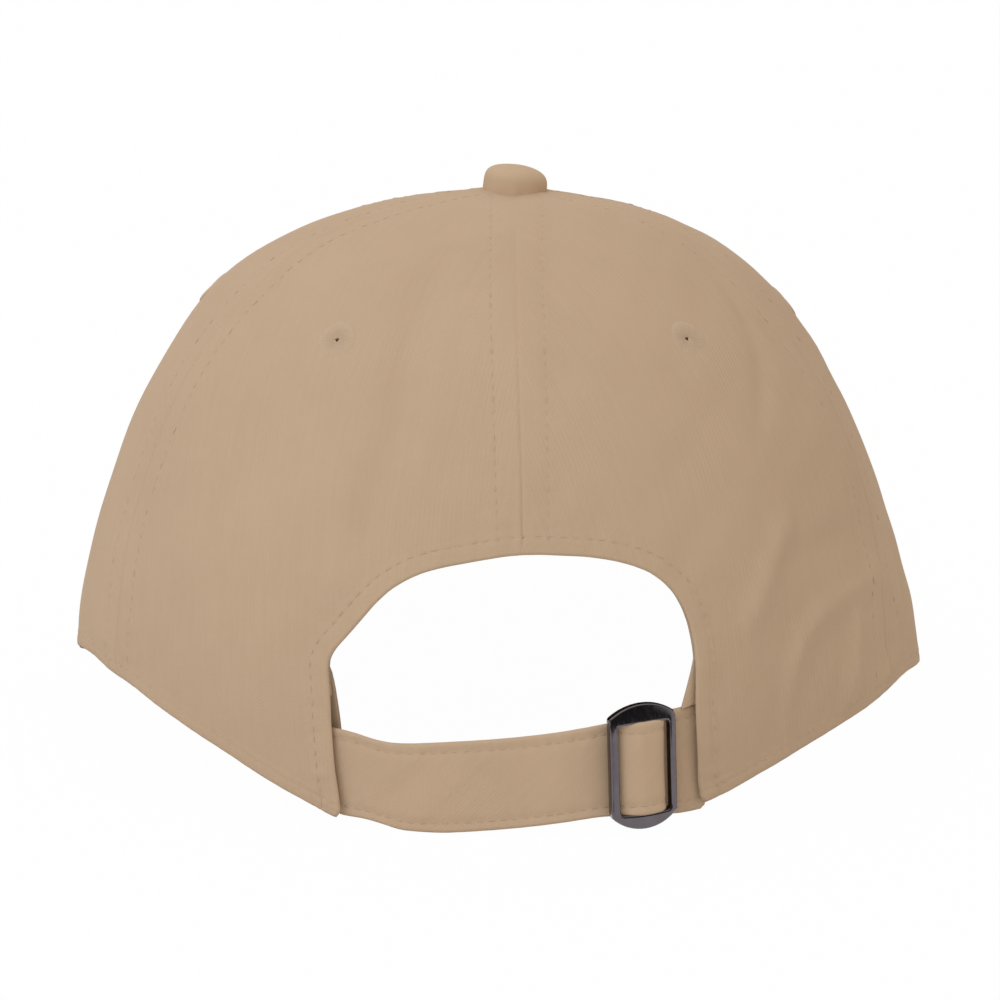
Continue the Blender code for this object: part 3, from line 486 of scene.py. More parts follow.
def whole_arch(count=420, inset=0.0):
    """Angle and rise along the rear arch, from its right foot over the top to its left foot."""
    shares = np.linspace(0.0, 1.0, count // 2)
    right, left = arch_side(-1, shares, inset), arch_side(1, shares, inset)
    return tuple(np.concatenate([a[::-1], b[1:]]) for a, b in zip(right, left))


def lower_edge(count=1000):
    """Angle and rise along the crown's lower edge, from the left foot of the arch round to the right one."""
    return side_turned(np.linspace(foot_angle(1), math.tau + foot_angle(-1), count)), np.zeros(count)


SEAM_LINES = {name: crown_point(*seam_line(degrees)) for name, degrees in SEAM_DEGREES.items()}
ARCH_LINE = crown_point(*whole_arch())
EDGE_LINE = crown_point(*lower_edge())

# Soft folds: degrees and rises of the points of a line, its height and its width in mm
FOLDS = (
    (((19.2, 0.70), (20.7, 0.60), (20.2, 0.49), (20.6, 0.41), (23.0, 0.28)), -1.55, 4.8),
    (((26.2, 0.341), (24.7, 0.26), (25.5, 0.21)), 0.8, 4.0),
    (((-56.4, 0.61), (-55.1, 0.57), (-52.5, 0.51), (-49.7, 0.467), (-46.3, 0.424), (-42.7, 0.38)), -0.7, 2.6),
    (((-56.0, 0.56), (-61.0, 0.517), (-64.5, 0.47)), -0.7, 3.2),
    (((-44.8, 0.265), (-41.7, 0.229), (-38.5, 0.195), (-35.5, 0.155)), 1.4, 3.4),
    (((-42.3, 0.22), (-47.5, 0.223), (-57.9, 0.218), (-64.0, 0.21)), -1.0, 3.6),
    (((-66.0, 0.145), (-56.1, 0.144), (-50.0, 0.138), (-45.5, 0.121), (-43.8, 0.092), (-42.6, 0.03)), 1.5, 2.8),
    (((-58.1, 0.115), (-56.8, 0.055), (-55.4, 0.01)), 2.1, 2.7),
    (((-72.7, 0.11), (-69.4, 0.036), (-64.9, 0.01)), 1.7, 2.8),
    (((78.0, 0.30), (74.0, 0.08)), 0.5, 6.5),
    (((100.0, 0.46), (104.0, 0.22), (101.0, 0.06)), 0.8, 7.0),
    (((-88.0, 0.42), (-93.0, 0.2), (-90.0, 0.05)), -0.8, 6.5),
    (((-108.0, 0.5), (-111.0, 0.28)), 0.7, 6.0),
    (((138.0, 0.38), (133.0, 0.16)), 0.8, 7.0),
    (((-140.0, 0.34), (-134.0, 0.12)), -0.8, 6.5),
    (((163.0, 0.30), (160.0, 0.10)), -0.6, 6.0),
)


def fold_line(stops):
    line = read_along(np.linspace(0.0, len(stops) - 1.0, 60), np.arange(len(stops)), np.array(stops))
    return crown_point(np.radians(line[:, 0]), line[:, 1])


def gap_to(points, line, batch=3000):
    """Distance of each point from a line, and how far along the line it lies."""
    along = lengths_along(line)
    way = unit(np.gradient(line, axis=0))
    flat = points.reshape(-1, 3)
    gap, place = np.empty(len(flat)), np.empty(len(flat))
    for start in range(0, len(flat), batch):
        part = flat[start : start + batch]
        away = part[:, None] - line[None]
        nearest = (away**2).sum(axis=2).argmin(axis=1)
        miss = away[np.arange(len(part)), nearest]
        slide = (miss * way[nearest]).sum(axis=1)
        inside = (nearest > 0) & (nearest < len(line) - 1)
        aside = np.sqrt(np.maximum((miss**2).sum(axis=1) - np.where(inside, slide, 0.0) ** 2, 0.0))
        gap[start : start + batch] = aside
        place[start : start + batch] = along[nearest] + slide
    return gap.reshape(points.shape[:-1]), place.reshape(points.shape[:-1])


def ripple(along, wavelength, phase=0.0):
    """Uneven wave along a seam, from the pull of its stitches."""
    turn = math.tau * along / wavelength
    return np.sin(turn + phase) + 0.6 * np.sin(1.73 * turn + 2.1 * phase + 1.0)


def slack(points):
    """Slow unevenness of cloth that is held only by its seams."""
    rng = np.random.default_rng(7)
    out = np.zeros(points.shape[:-1])
    for wavelength, height in SLACK_WAVES:
        way = unit(rng.normal(size=3))
        out += height * MM * np.sin(points @ way * 2.0 * math.pi / (wavelength * MM) + rng.uniform(0.0, 6.28))
    return out


def hem_relief(gap, along, inset):
    """Doubled cloth behind an edge, pressed down along its row of stitches."""
    doubled = HEM_DOUBLED_HEIGHT * (1.0 - ease((gap - inset - 0.2 * MM) / (1.2 * MM)))
    pressed = -HEM_PRESS_DEPTH * bell(gap - inset, 0.6 * MM)
    turned = -HEM_TURN_DEPTH * np.maximum(1.0 - gap / (0.7 * MM), 0.0) ** 2
    pull = HEM_PUCKER * ripple(along, 6.1 * MM) * bell(gap - inset, 3.0 * MM)
    return doubled + pressed + turned + pull


def relief(points):
    """How far the crown's cloth stands out from its plain shape."""
    doubled, sewn = np.zeros((2, *points.shape[:-1]))
    for k, line in enumerate(SEAM_LINES.values()):
        gap, along = gap_to(points, line)
        length = lengths_along(line)[-1]
        clear = ease((length - along - 6.0 * MM) / (16.0 * MM))
        raised = SEAM_DOUBLED_HEIGHT * (1.0 - ease((gap - SEAM_DOUBLED_WIDTH) / (SEAM_DOUBLED_WIDTH / 2.0)))
        doubled = np.maximum(doubled, raised * clear)
        sewn -= MM * (0.08 + 0.22 * (1.0 - along / length)) * bell(gap, SEAM_GROOVE_WIDTH)
        sewn -= SEAM_PRESS_DEPTH * bell(gap - SEAM_STITCH_INSET, 0.7 * MM) * clear
        sewn += SEAM_PUCKER * ripple(along, 6.7 * MM, k) * bell(gap - SEAM_STITCH_INSET, 3.4 * MM)
    edge_gap, edge_along = gap_to(points, EDGE_LINE)
    arch_gap, arch_along = gap_to(points, ARCH_LINE)
    for stops, height, width in FOLDS:
        line = fold_line(stops)
        gap, along = gap_to(points, line)
        length = lengths_along(line)[-1]
        faded = ease((0.35 * length + along) / (0.6 * length)) * ease((1.25 * length - along) / (0.6 * length))
        doubled += height * MM * bell(gap, width * MM) * faded
    flatter = ease((edge_gap - 0.5 * MM) / (4.5 * MM)) * ease((arch_gap - 0.5 * MM) / (3.0 * MM))
    hems = hem_relief(edge_gap, edge_along, HEM_STITCH_INSET) + hem_relief(arch_gap, arch_along, ARCH_STITCH_INSET)
    return slack(points) + (doubled + sewn) * flatter + hems


def cloth_face(angle, rise):
    """Points of the crown's sewn cloth, and its outward directions."""
    plain, out = crown_point(angle, rise), crown_normal(angle, rise)
    return plain + out * relief(plain)[..., None], out


# Pieces of cloth and thread


def take_up(obj):
    """Makes this object the only one selected."""
    bpy.ops.object.select_all(action="DESELECT")
    obj.select_set(True)
    bpy.context.view_layer.objects.active = obj


def apply_modifiers(obj):
    take_up(obj)
    for modifier in list(obj.modifiers):
        bpy.ops.object.modifier_apply(modifier=modifier.name)


def bevel(obj, name, width, segments, least_degrees=30.0, **settings):
    """Rounds the edges that turn by more than so many degrees."""
    rounding = obj.modifiers.new(name, "BEVEL")
    rounding.width = width
    rounding.segments = segments
    rounding.limit_method = "ANGLE"
    rounding.angle_limit = math.radians(least_degrees)
    for key, value in settings.items():
        setattr(rounding, key, value)


def start_piece(name, add, **settings):
    """A new simple shape, the only thing selected."""
    bpy.ops.object.select_all(action="DESELECT")
    add(**settings)
    obj = bpy.context.object
    obj.name = obj.data.name = name
    return obj


def settle(obj, body="crown"):
    """Puts the object's place into its mesh and lets it ride on a body, if one is given."""
    take_up(obj)
    bpy.ops.object.transform_apply(location=True, rotation=True, scale=True)
    bpy.ops.object.shade_smooth_by_angle(angle=math.radians(50.0))
    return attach(obj, body) if body else obj


def mesh_object(name, points, faces):
    mesh = bpy.data.meshes.new(name)
    mesh.from_pydata([tuple(p) for p in points], [], [tuple(int(k) for k in f) for f in faces])
    obj = bpy.data.objects.new(name, mesh)
    bpy.context.scene.collection.objects.link(obj)
    return obj


def write_flat_map(mesh, flat):
    """Keeps each corner's place on the flat cloth, for the weave."""
    corners = np.empty(len(mesh.loops), np.int32)
    mesh.loops.foreach_get("vertex_index", corners)
    layer = mesh.uv_layers.new(name="flat_cloth")
    layer.data.foreach_set("uv", np.asarray(flat, np.float32)[corners].ravel())


def flat_grid(across, along):
    """Places on a flat strip of cloth, from the places across it and along it."""
    return np.stack(np.broadcast_arrays(across, along), axis=-1)


def lay_cloth(name, places, flat, outward, thickness, material, keep=None, rim=0.0, body="crown"):
    """Sheet of cloth from rows of points of its outer face. The rows' quads can be thinned out by keep."""
    rows, columns = places.shape[:2]
    index = np.arange(rows * columns).reshape(rows, columns)
    quads = np.stack([index[:-1, :-1], index[:-1, 1:], index[1:, 1:], index[1:, :-1]], axis=-1)
    middle = quads[rows // 2, columns // 2]
    points = places.reshape(-1, 3)
    face_way = np.cross(points[middle[1]] - points[middle[0]], points[middle[3]] - points[middle[0]])
    if face_way @ np.broadcast_to(outward, places.shape)[rows // 2, columns // 2] < 0:
        quads = quads[..., ::-1]
    quads = quads.reshape(-1, 4) if keep is None else quads[keep]
    obj = mesh_object(name, points, quads)
    write_flat_map(obj.data, flat.reshape(-1, 2))
    wall = obj.modifiers.new("cloth_thickness", "SOLIDIFY")
    wall.thickness = thickness
    wall.offset = -1.0
    if rim:
        bevel(obj, "turned_edge", rim, 2, 55.0)
    apply_modifiers(obj)
    drop_loose_points(obj)
    obj.data.materials.append(material)
    return settle(obj, body)


def drop_loose_points(obj):
    take_up(obj)
    bpy.ops.object.mode_set(mode="EDIT")
    bpy.ops.mesh.select_all(action="SELECT")
    bpy.ops.mesh.delete_loose()
    bpy.ops.object.mode_set(mode="OBJECT")


def model_stitch():
    """One short stitch along X, its two ends dipping into the cloth. Returns its points and faces."""
    stitch = start_piece("one_stitch", bpy.ops.mesh.primitive_uv_sphere_add, segments=6, ring_count=6, radius=0.5)
    bpy.ops.object.mode_set(mode="EDIT")
    bpy.ops.transform.rotate(value=math.pi / 2.0, orient_axis="Y", center_override=(0.0, 0.0, 0.0))
    bpy.ops.transform.resize(value=(1.0, STITCH_SHARE, 0.16), center_override=(0.0, 0.0, 0.0))
    bpy.ops.object.mode_set(mode="OBJECT")
    points = np.array([v.co for v in stitch.data.vertices])
    points[:, 2] -= 0.30 * points[:, 0] ** 2
    faces = [tuple(p.vertices) for p in stitch.data.polygons]
    bpy.data.objects.remove(stitch)
    return points, faces


STITCH_POINTS, STITCH_FACES = model_stitch()


def sew(name, runs, material, body="crown", pitch=STITCH_PITCH, length=STITCH_LENGTH, width=STITCH_WIDTH):
    """Rows of stitches along runs of points and outward directions, as one piece."""
    points, faces = [], []
    rng = np.random.default_rng(len(name))
    for line, out in runs:
        along = lengths_along(line)
        places = np.arange(pitch / 2.0, along[-1] - pitch / 2.0, pitch)
        at = read_along(places, along, line)
        up = unit(read_along(places, along, out))
        way = read_along(places, along, np.gradient(line, axis=0))
        way = unit(way - up * (way * up).sum(axis=1, keepdims=True))
        side = np.cross(up, way)
        way = unit(way + side * rng.normal(0.0, STITCH_WANDER, (len(way), 1)))
        side = np.cross(up, way)
        thick = width / STITCH_SHARE
        scaled = STITCH_POINTS * (length, thick, thick)
        scaled[:, 2] = scaled[:, 2] + width * 0.04
        for k in range(len(places)):
            start = len(points) * len(STITCH_POINTS)
            points.append(at[k] + scaled[:, :1] * way[k] + scaled[:, 1:2] * side[k] + scaled[:, 2:] * up[k])
            faces += [[start + v for v in face] for face in STITCH_FACES]
    obj = mesh_object(name, np.concatenate(points), faces)
    obj.data.materials.append(material)
    return settle(obj, body)


# Crown panels


def to_sheet(angle, rise):
    """Unrolled place with the apex in the middle and the lower edge at 1."""
    return np.stack([(1.0 - rise) * np.sin(angle), (1.0 - rise) * np.cos(angle)], axis=-1)


def from_sheet(place):
    return np.arctan2(place[..., 0], place[..., 1]), 1.0 - np.hypot(place[..., 0], place[..., 1])


def plain_panel(start_deg, end_deg, columns=72, rows=92):
    """Angles and rises over a panel with two seams and a lower edge."""
    across = np.radians(start_deg) + np.radians(end_deg - start_deg) * crowd(columns)
    top = np.array([rise_at_radius(angle, APEX_HOLE_RADIUS) for angle in across])
    return np.broadcast_to(across, (rows, columns)), top * crowd(rows)[:, None]


def rear_panel(side, columns=104, rows=104):
    """Angles and rises from centre back and the rear arch round to the side seam."""
    u, v = crowd(columns), crowd(rows)
    seam = side * math.radians(REAR_SEAM_DEG)
    arch_angle, arch_rise = arch_side(side, v)
    foot = foot_angle(side)
    arch_angle[0], arch_rise[-1], arch_angle[-1] = 0.0, 0.0, foot
    centre_top = rise_at_radius(0.0, APEX_HOLE_RADIUS)
    near = to_sheet(arch_angle, arch_rise)
    far = to_sheet(np.full(rows, seam), rise_at_radius(seam, APEX_HOLE_RADIUS) * (1.0 - v))
    top = to_sheet(np.zeros(columns), arch_rise[0] + (centre_top - arch_rise[0]) * u)
    low = to_sheet(foot + (seam - foot) * u, np.zeros(columns))
    far[0] = top[-1]
    u, v = u[None, :, None], v[:, None, None]
    ruled = near[:, None] * (1 - u) + far[:, None] * u + top[None] * (1 - v) + low[None] * v
    corners = near[0] * (1 - u) * (1 - v) + far[0] * u * (1 - v) + near[-1] * (1 - u) * v + far[-1] * u * v
    return from_sheet(ruled - corners)


def flat_place(angle, rise, middle_deg):
    """Where a panel's points lay on the flat cloth, its grain along the panel's middle."""
    middle = math.radians(middle_deg)
    rises = np.linspace(0.0, 1.0, 300)
    up = lengths_along(crown_point(middle, rises))
    around = (angle - middle) * crown_radius(middle, rise)
    return flat_grid(around, np.interp(rise, rises, up))


def clear_of_eyelet(places, centre, radius):
    """Which quads of a panel stay, leaving a hole for its eyelet."""
    middles = (places[:-1, :-1] + places[:-1, 1:] + places[1:, 1:] + places[1:, :-1]) / 4.0
    return np.linalg.norm(middles - centre, axis=-1) > radius


# Degrees of each panel's two seams, its flat blank in metres, and the area cut from that
PANELS = {
    "rear": (0.0, REAR_SEAM_DEG, (0.125, 0.155), 0.0105),
    "side": (REAR_SEAM_DEG, FRONT_SEAM_DEG, (0.105, 0.150), 0.0088),
    "front": (FRONT_SEAM_DEG, 180.0, (0.110, 0.165), 0.0098),
}


def make_panels(twill):
    for kind, (start, end, flat_size, area) in PANELS.items():
        for hand, side in HANDS.items():
            if kind == "rear":
                angle, rise = rear_panel(side)
            else:
                angle, rise = plain_panel(side * start, side * end)
            places, out = cloth_face(angle, rise)
            middle_deg = side * EYELET_DEGREES[kind]
            centre = cloth_face(math.radians(middle_deg), EYELET_RISES[side])[0]
            keep = clear_of_eyelet(places, centre, EYELET_CUT_RADIUS)
            flat = flat_place(angle, rise, middle_deg)
            panel = lay_cloth(f"panel_{kind}_{hand}", places, flat, out, CLOTH_THICKNESS, twill, keep)
            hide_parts(f"crown_panel_{kind}_{hand}")


def seam_stitch_runs(degrees):
    """Two rows of stitches, one on each side of a seam."""
    seam, rise = seam_line(degrees)
    runs = []
    for side in (-1.0, 1.0):
        spread = side * SEAM_STITCH_INSET / crown_radius(seam, rise)
        keep = crown_radius(seam, rise) > BUTTON_RADIUS + 1.0 * MM
        keep &= lengths_along(crown_point(seam, rise)) > 1.6 * MM
        runs.append(cloth_face((seam + spread)[keep], rise[keep]))
    return runs


def make_crown_stitches(thread):
    for name, degrees in SEAM_DEGREES.items():
        row = sew(f"seam_stitches_{name}", seam_stitch_runs(degrees), thread)
    angle, _ = lower_edge(500)
    up = np.linalg.norm(crown_point(angle, np.full(500, 0.02)) - crown_point(angle, np.zeros(500)), axis=1)
    hem = sew("lower_edge_stitches", [cloth_face(angle, 0.02 * HEM_STITCH_INSET / up)], thread)
    arch = sew("arch_stitches", [cloth_face(*whole_arch(300, ARCH_STITCH_INSET))], thread)


# Eyelets and button


def frame_at(place, up, side):
    up = Vector(up).normalized()
    side = Vector(side)
    side = (side - up * side.dot(up)).normalized()
    turn = Matrix((side, up.cross(side), up)).transposed().to_4x4()
    turn.translation = Vector(place)
    return turn


def make_eyelets(thread):
    """Rings of close satin stitches, one in the middle of each panel."""
    for kind, degrees in EYELET_DEGREES.items():
        for hand, side in HANDS.items():
            place, out = cloth_face(math.radians(side * degrees), EYELET_RISES[side])
            ring = start_piece(
                f"eyelet_ring_{kind}_{hand}",
                bpy.ops.mesh.primitive_torus_add,
                major_radius=EYELET_RADIUS,
                minor_radius=EYELET_HALF_WIDTH,
                major_segments=4 * EYELET_WRAPS,
                minor_segments=14,
            )
            wrap_ring(ring)
            ring.matrix_world = frame_at(place - out * EYELET_SINK, out, (0.0, 0.0, 1.0))
            ring.data.materials.append(thread)
            settle(ring)
            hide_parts(f"eyelet_{kind}_{hand}")


def wrap_ring(ring):
    """Shapes a round ring into a low one wound with thread."""
    for vertex in ring.data.vertices:
        x, y, z = vertex.co
        turn = math.atan2(y, x)
        reach = math.hypot(x, y) - EYELET_RADIUS
        roll = math.atan2(z, reach)
        wound = 1.0 + EYELET_WRAP_DEPTH * math.cos(EYELET_WRAPS * turn + 1.2 * roll) * abs(math.sin(roll))
        uneven = 1.0 + 0.05 * math.sin(3.0 * turn + 0.7) + 0.03 * math.sin(7.0 * turn)
        radius = EYELET_RADIUS + reach * uneven
        height = z / EYELET_HALF_WIDTH * EYELET_HALF_HEIGHT * wound
        vertex.co = (radius * math.cos(turn), radius * math.sin(turn), height)


def make_button(twill):
    """Button covered with the crown's twill, its cloth gathered under the rim. It gets the strap's copy of that
    twill, painted lighter to lift the shade on it.
    """
    button = start_piece("button", bpy.ops.mesh.primitive_uv_sphere_add, segments=72, ring_count=40, radius=1.0)
    bpy.ops.object.mode_set(mode="EDIT")
    bpy.ops.mesh.bisect(plane_co=(0.0, 0.0, -BUTTON_CUT), plane_no=(0.0, 0.0, 1.0), clear_inner=True, use_fill=True)
    bpy.ops.mesh.inset(thickness=0.12)
    bpy.ops.object.mode_set(mode="OBJECT")
    flat = []
    for vertex in button.data.vertices:
        x, y, z = vertex.co
        turn, reach = math.atan2(y, x), math.hypot(x, y)
        low = max(0.5 - z, 0.0)
        gathers = 1.0 + 0.010 * low * math.sin(17.0 * turn) + 0.014 * low * math.sin(9.0 * turn + 1.0)
        full = math.sin(min(reach, 1.0) * math.pi / 2.0) ** 0.94 * gathers
        rise = (z + BUTTON_CUT) / (1.0 + BUTTON_CUT) * (1.0 - 0.16 * max(-x, 0.0) ** 1.5)
        vertex.co = (
            BUTTON_RADIUS * full * math.cos(turn),
            BUTTON_RADIUS * full * math.sin(turn),
            BUTTON_HEIGHT * rise + 0.35 * MM,
        )
        flat.append((x * BUTTON_RADIUS, y * BUTTON_RADIUS))
    for layer in list(button.data.uv_layers):
        button.data.uv_layers.remove(layer)
    write_flat_map(button.data, flat)
    up = Vector((BUTTON_LEAN, -FORWARD_FALL, 1.0))
    button.matrix_world = frame_at(crown_point(0.0, 1.0) - (0.0, 0.0, BUTTON_SINK), up, (1.0, 0.0, 0.0))
    # The twill given here is the strap's copy, painted lighter to lift the shade on the button
    button.data.materials.append(twill)
    settle(button)
    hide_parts("button_cover", "button_shell")


# Inside of the crown


def under_crown(angle, rise, depth):
    """Points at a depth under the crown's outer face, following the cloth's slack."""
    plain = crown_point(angle, rise)
    return plain + crown_normal(angle, rise) * (slack(plain) - depth)[..., None]


def rise_at_height(angle, height):
    """Rise whose height above the crown's lower edge is the given one, leaving out the forward fall."""
    share = np.maximum(height, 0.0) / (CROWN_HEIGHT - edge_height(angle))
    return np.arcsin(np.minimum(share, 1.0) ** (fullness(angle) / 2.0)) * 2.0 / math.pi


def make_seam_tapes(lining, thread):
    """Tape with turned edges over the inside of each seam, sewn down by the two rows."""
    for name, degrees in SEAM_DEGREES.items():
        seam = math.radians(degrees)
        if name == "rear_centre":
            foot = locate(np.array(0.0), np.array(REAR_TAPE_FOOT))[1]
        else:
            foot = rise_at_height(seam, TAPE_FOOT)
        rises = np.linspace(float(foot), rise_at_radius(seam, TAPE_TOP_RADIUS), 60)
        across = np.linspace(-1.0, 1.0, 13)
        spread = TAPE_HALF_WIDTH / crown_radius(seam, rises)
        angle = seam + spread[:, None] * across
        rise = np.broadcast_to(rises[:, None], angle.shape)
        line = crown_point(seam, rises)
        along = lengths_along(line)
        puff = 0.25 * MM * np.cos(across * math.pi / 2.0) ** 0.5 + 0.05 * MM * ripple(along, 7.0 * MM)[:, None]
        inner = under_crown(angle, rise, CLOTH_THICKNESS + LINING_GAP + TAPE_THICKNESS + puff)
        flat = flat_grid(across * TAPE_HALF_WIDTH, along[:, None])
        way = -crown_normal(angle, rise)
        tape = lay_cloth(f"tape_{name}", inner, flat, way, TAPE_THICKNESS, lining, rim=0.2 * MM)
        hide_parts(f"seam_tape_{name}")
        runs = [(inner[:, k], way[:, k]) for k in (1, -2)]
        rows = sew(f"tape_stitches_{name}", runs, thread)


def make_arch_facing(lining):
    """Turned-in facing behind the rear arch. Its right leg shows past the panel's edge above the strap."""
    across = np.linspace(0.0, 1.0, 7)
    halves = []
    for side, (foot_height, shown) in FACING_FEET.items():
        shares = np.linspace(0.0, 1.0, 130)
        heights = crown_point(*arch_side(side, shares))[:, 2]
        shares *= np.interp(-foot_height, -heights, shares)
        edge, inner = (np.stack(arch_side(side, shares, inset), axis=-1) for inset in (0.3 * MM, FACING_WIDTH))
        heights = crown_point(edge[:, 0], edge[:, 1])[:, 2]
        peek = shown * np.clip((FACING_SHOULDER - heights) / (FACING_SHOULDER - foot_height), 0.0, 1.0)
        edge = edge + (edge - inner) * (peek / FACING_WIDTH)[:, None]
        halves.append(edge[:, None] + (inner - edge)[:, None] * across[None, :, None])
    grid = np.concatenate([halves[0][::-1], halves[1][1:]])
    angle, rise = grid[..., 0], np.clip(grid[..., 1], 0.0, 1.0)
    outer = under_crown(angle, rise, CLOTH_THICKNESS + 0.35 * MM + 0.25 * MM * across[None])
    way = crown_normal(angle, rise)
    along = lengths_along(outer[:, 3])
    flat = flat_grid(across[None] * FACING_WIDTH, along[:, None])
    facing = lay_cloth("arch_facing", outer, flat, way, TAPE_THICKNESS, lining, rim=0.2 * MM)
    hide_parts("rear_arch_facing")


def sweatband_depth(angle):
    """Depth of the band: near the panels in front, behind the strap's pockets at the rear."""
    plain = CLOTH_THICKNESS + BAND_SEAM_ROOM + 2 * LINING_GAP
    stack = BAND_STRAP_ROOM + np.where(angle < 0, 2 * STRAP_THICKNESS + RETURN_GAP, STRAP_THICKNESS)
    blend = ease(1.0 - (np.abs(np.degrees(angle)) - BAND_POCKET_DEG) / BAND_SHIFT_DEG)
    return plain + (stack + LINING_GAP - plain) * blend


def sweatband_end(side, heights, shown):
    """Angles at which the band ends beside the arch, so much of it shown past the panel's edge."""
    angle, rise = arch_side(side, np.linspace(0.55, 1.0, 40))
    edge = np.interp(-heights, -crown_point(angle, rise)[:, 2], angle)
    depth = sweatband_depth(edge)
    return edge + side * (depth * np.sin(np.abs(edge)) - shown) / (CROWN_HALF_LENGTH * np.cos(edge))


def make_sweatband(lining, thread):
    """Band round the inside of the lower edge, padded between its two rows of stitches."""
    up = np.linspace(0.0, 1.0, 17)
    heights = edge_height(math.radians(26.0)) + BAND_FOOT + BAND_HEIGHT * up
    shown = MM * np.interp(up, (0.0, 0.6, 0.93, 1.0), (2.0, 1.6, 0.7, -0.3))
    start = sweatband_end(1, heights, shown)
    end = math.tau + sweatband_end(-1, heights, -0.6 * MM)
    angle = side_turned(start + (end - start) * np.linspace(0.0, 1.0, 260)[:, None])
    rise = rise_at_height(angle, BAND_FOOT + BAND_HEIGHT * up[None])
    puff = 0.9 * MM * np.sin(np.clip(up * 1.1 - 0.05, 0.0, 1.0) * math.pi) ** 0.6
    outer = under_crown(angle, rise, sweatband_depth(angle) + BAND_THICKNESS + puff[None])
    along = lengths_along(outer[:, 8])
    wavy = 0.12 * MM * ripple(along, 16.0 * MM)[:, None] * np.sin(up * math.pi)
    way = -crown_normal(angle, rise)
    inner = outer + way * wavy[..., None]
    flat = flat_grid(along[:, None], up[None] * BAND_HEIGHT)
    band = lay_cloth("sweatband_cloth", inner, flat, way, BAND_THICKNESS, lining, rim=0.3 * MM)
    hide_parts("sweatband")
    rows = sew("sweatband_stitches", [(inner[:, k], way[:, k]) for k in (1, 15)], thread)


# Visor


def visor_outline(turn):
    root_x, root_y = plan_point(math.radians(VISOR_ROOT_DEG), PLAN_POWER)
    length = CROWN_HALF_LENGTH + VISOR_PROJECTION + root_y
    x = (root_x + VISOR_CORNER_WIDTH) * signed_power(np.sin(turn), 2.0 / VISOR_OUTLINE_POWER)
    y = root_y - length * signed_power(np.cos(turn), 2.0 / VISOR_OUTLINE_POWER)
    return np.stack([x, y], axis=-1)


def visor_root_angles(count):
    """Angles along the front of the crown between the visor's corners, from the left to the right one."""
    root_angle = math.radians(VISOR_ROOT_DEG)
    return side_turned(root_angle + (math.tau - 2.0 * root_angle) * np.linspace(0.0, 1.0, count))


def visor_stations(count):
    """Plan points of the visor's root under the crown and of its outer edge."""
    inside = under_crown(visor_root_angles(count), np.zeros(count), CLOTH_THICKNESS)
    root = inside[:, :2] - (0.0, CROWN_Y)
    return root, visor_outline(math.pi / 2.0 - math.pi * np.linspace(0.0, 1.0, count))


def visor_place(root, edge, inset, depth):
    """World points at an inset from the visor's edge and a depth under its top face."""
    across = edge - root
    length = np.linalg.norm(across, axis=-1, keepdims=True)
    plan = edge - across / length * np.minimum(inset, length)
    height = visor_height(plan[..., 0], plan[..., 1]) - depth
    return np.stack([plan[..., 0], plan[..., 1] + CROWN_Y, height], axis=-1)


def visor_grid(count, side, cover_depth):
    """Outer face of a cover: rows from its turned rim in to the root. side is 1 above and -1 below."""
    root, edge = visor_stations(count)
    length = np.linalg.norm(edge - root, axis=1)
    half = VISOR_THICKNESS / 2.0
    rim = [(0.0, half), (0.0, VISOR_RIM), (0.12 * MM, 0.5 * MM), (0.55 * MM, 0.12 * MM)]
    places, insets = [], []
    for inset, depth in rim:
        places.append(visor_place(root, edge, inset, cover_depth + side * depth))
        insets.append(np.full(count, inset + depth - half))
    for share in np.linspace(0.0, 1.0, 72):
        inset = VISOR_RIM + (length - VISOR_RIM) * share
        face = visor_place(root, edge, inset[:, None], 0.0)
        face[:, 2] += side * visor_relief(inset, edge) - cover_depth
        places.append(face)
        insets.append(inset)
    return np.array(places), np.array(insets)


def visor_relief(inset, edge):
    out = 0.05 * MM * ripple(edge[:, 0] + inset, 9.0 * MM)
    for row in VISOR_STITCH_INSETS:
        out = out - 0.26 * MM * bell(inset - row, 0.8 * MM)
    return out


def make_visor(twill, thread):
    """Two covers that meet along the middle of the visor's edge, sewn through in rows."""
    count = 150
    for name, side, depth, cad_node in (
        ("visor_top", 1, 0.0, "visor_top_cover"),
        ("visor_under", -1, VISOR_THICKNESS, "visor_under_cover"),
    ):
        places, insets = visor_grid(count, side, depth)
        out = np.array((0.0, 0.0, float(side)))
        cover = lay_cloth(name, places, places[..., :2], out, VISOR_COVER_THICKNESS, twill)
        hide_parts(cad_node)
        runs = []
        for row in VISOR_STITCH_INSETS:
            level = np.array([np.interp(row, insets[:, k], np.arange(len(insets))) for k in range(count)])
            low = np.floor(level).astype(int).clip(0, len(insets) - 2)
            part = (level - low)[:, None]
            line = places[low, np.arange(count)] * (1 - part) + places[low + 1, np.arange(count)] * part
            fits = insets[-1] > row + 3.0 * MM
            runs.append((line[fits], np.broadcast_to(out, line.shape)[fits]))
        rows = sew(f"{name}_stitches", runs, thread, pitch=VISOR_STITCH_PITCH, length=VISOR_STITCH_LENGTH)


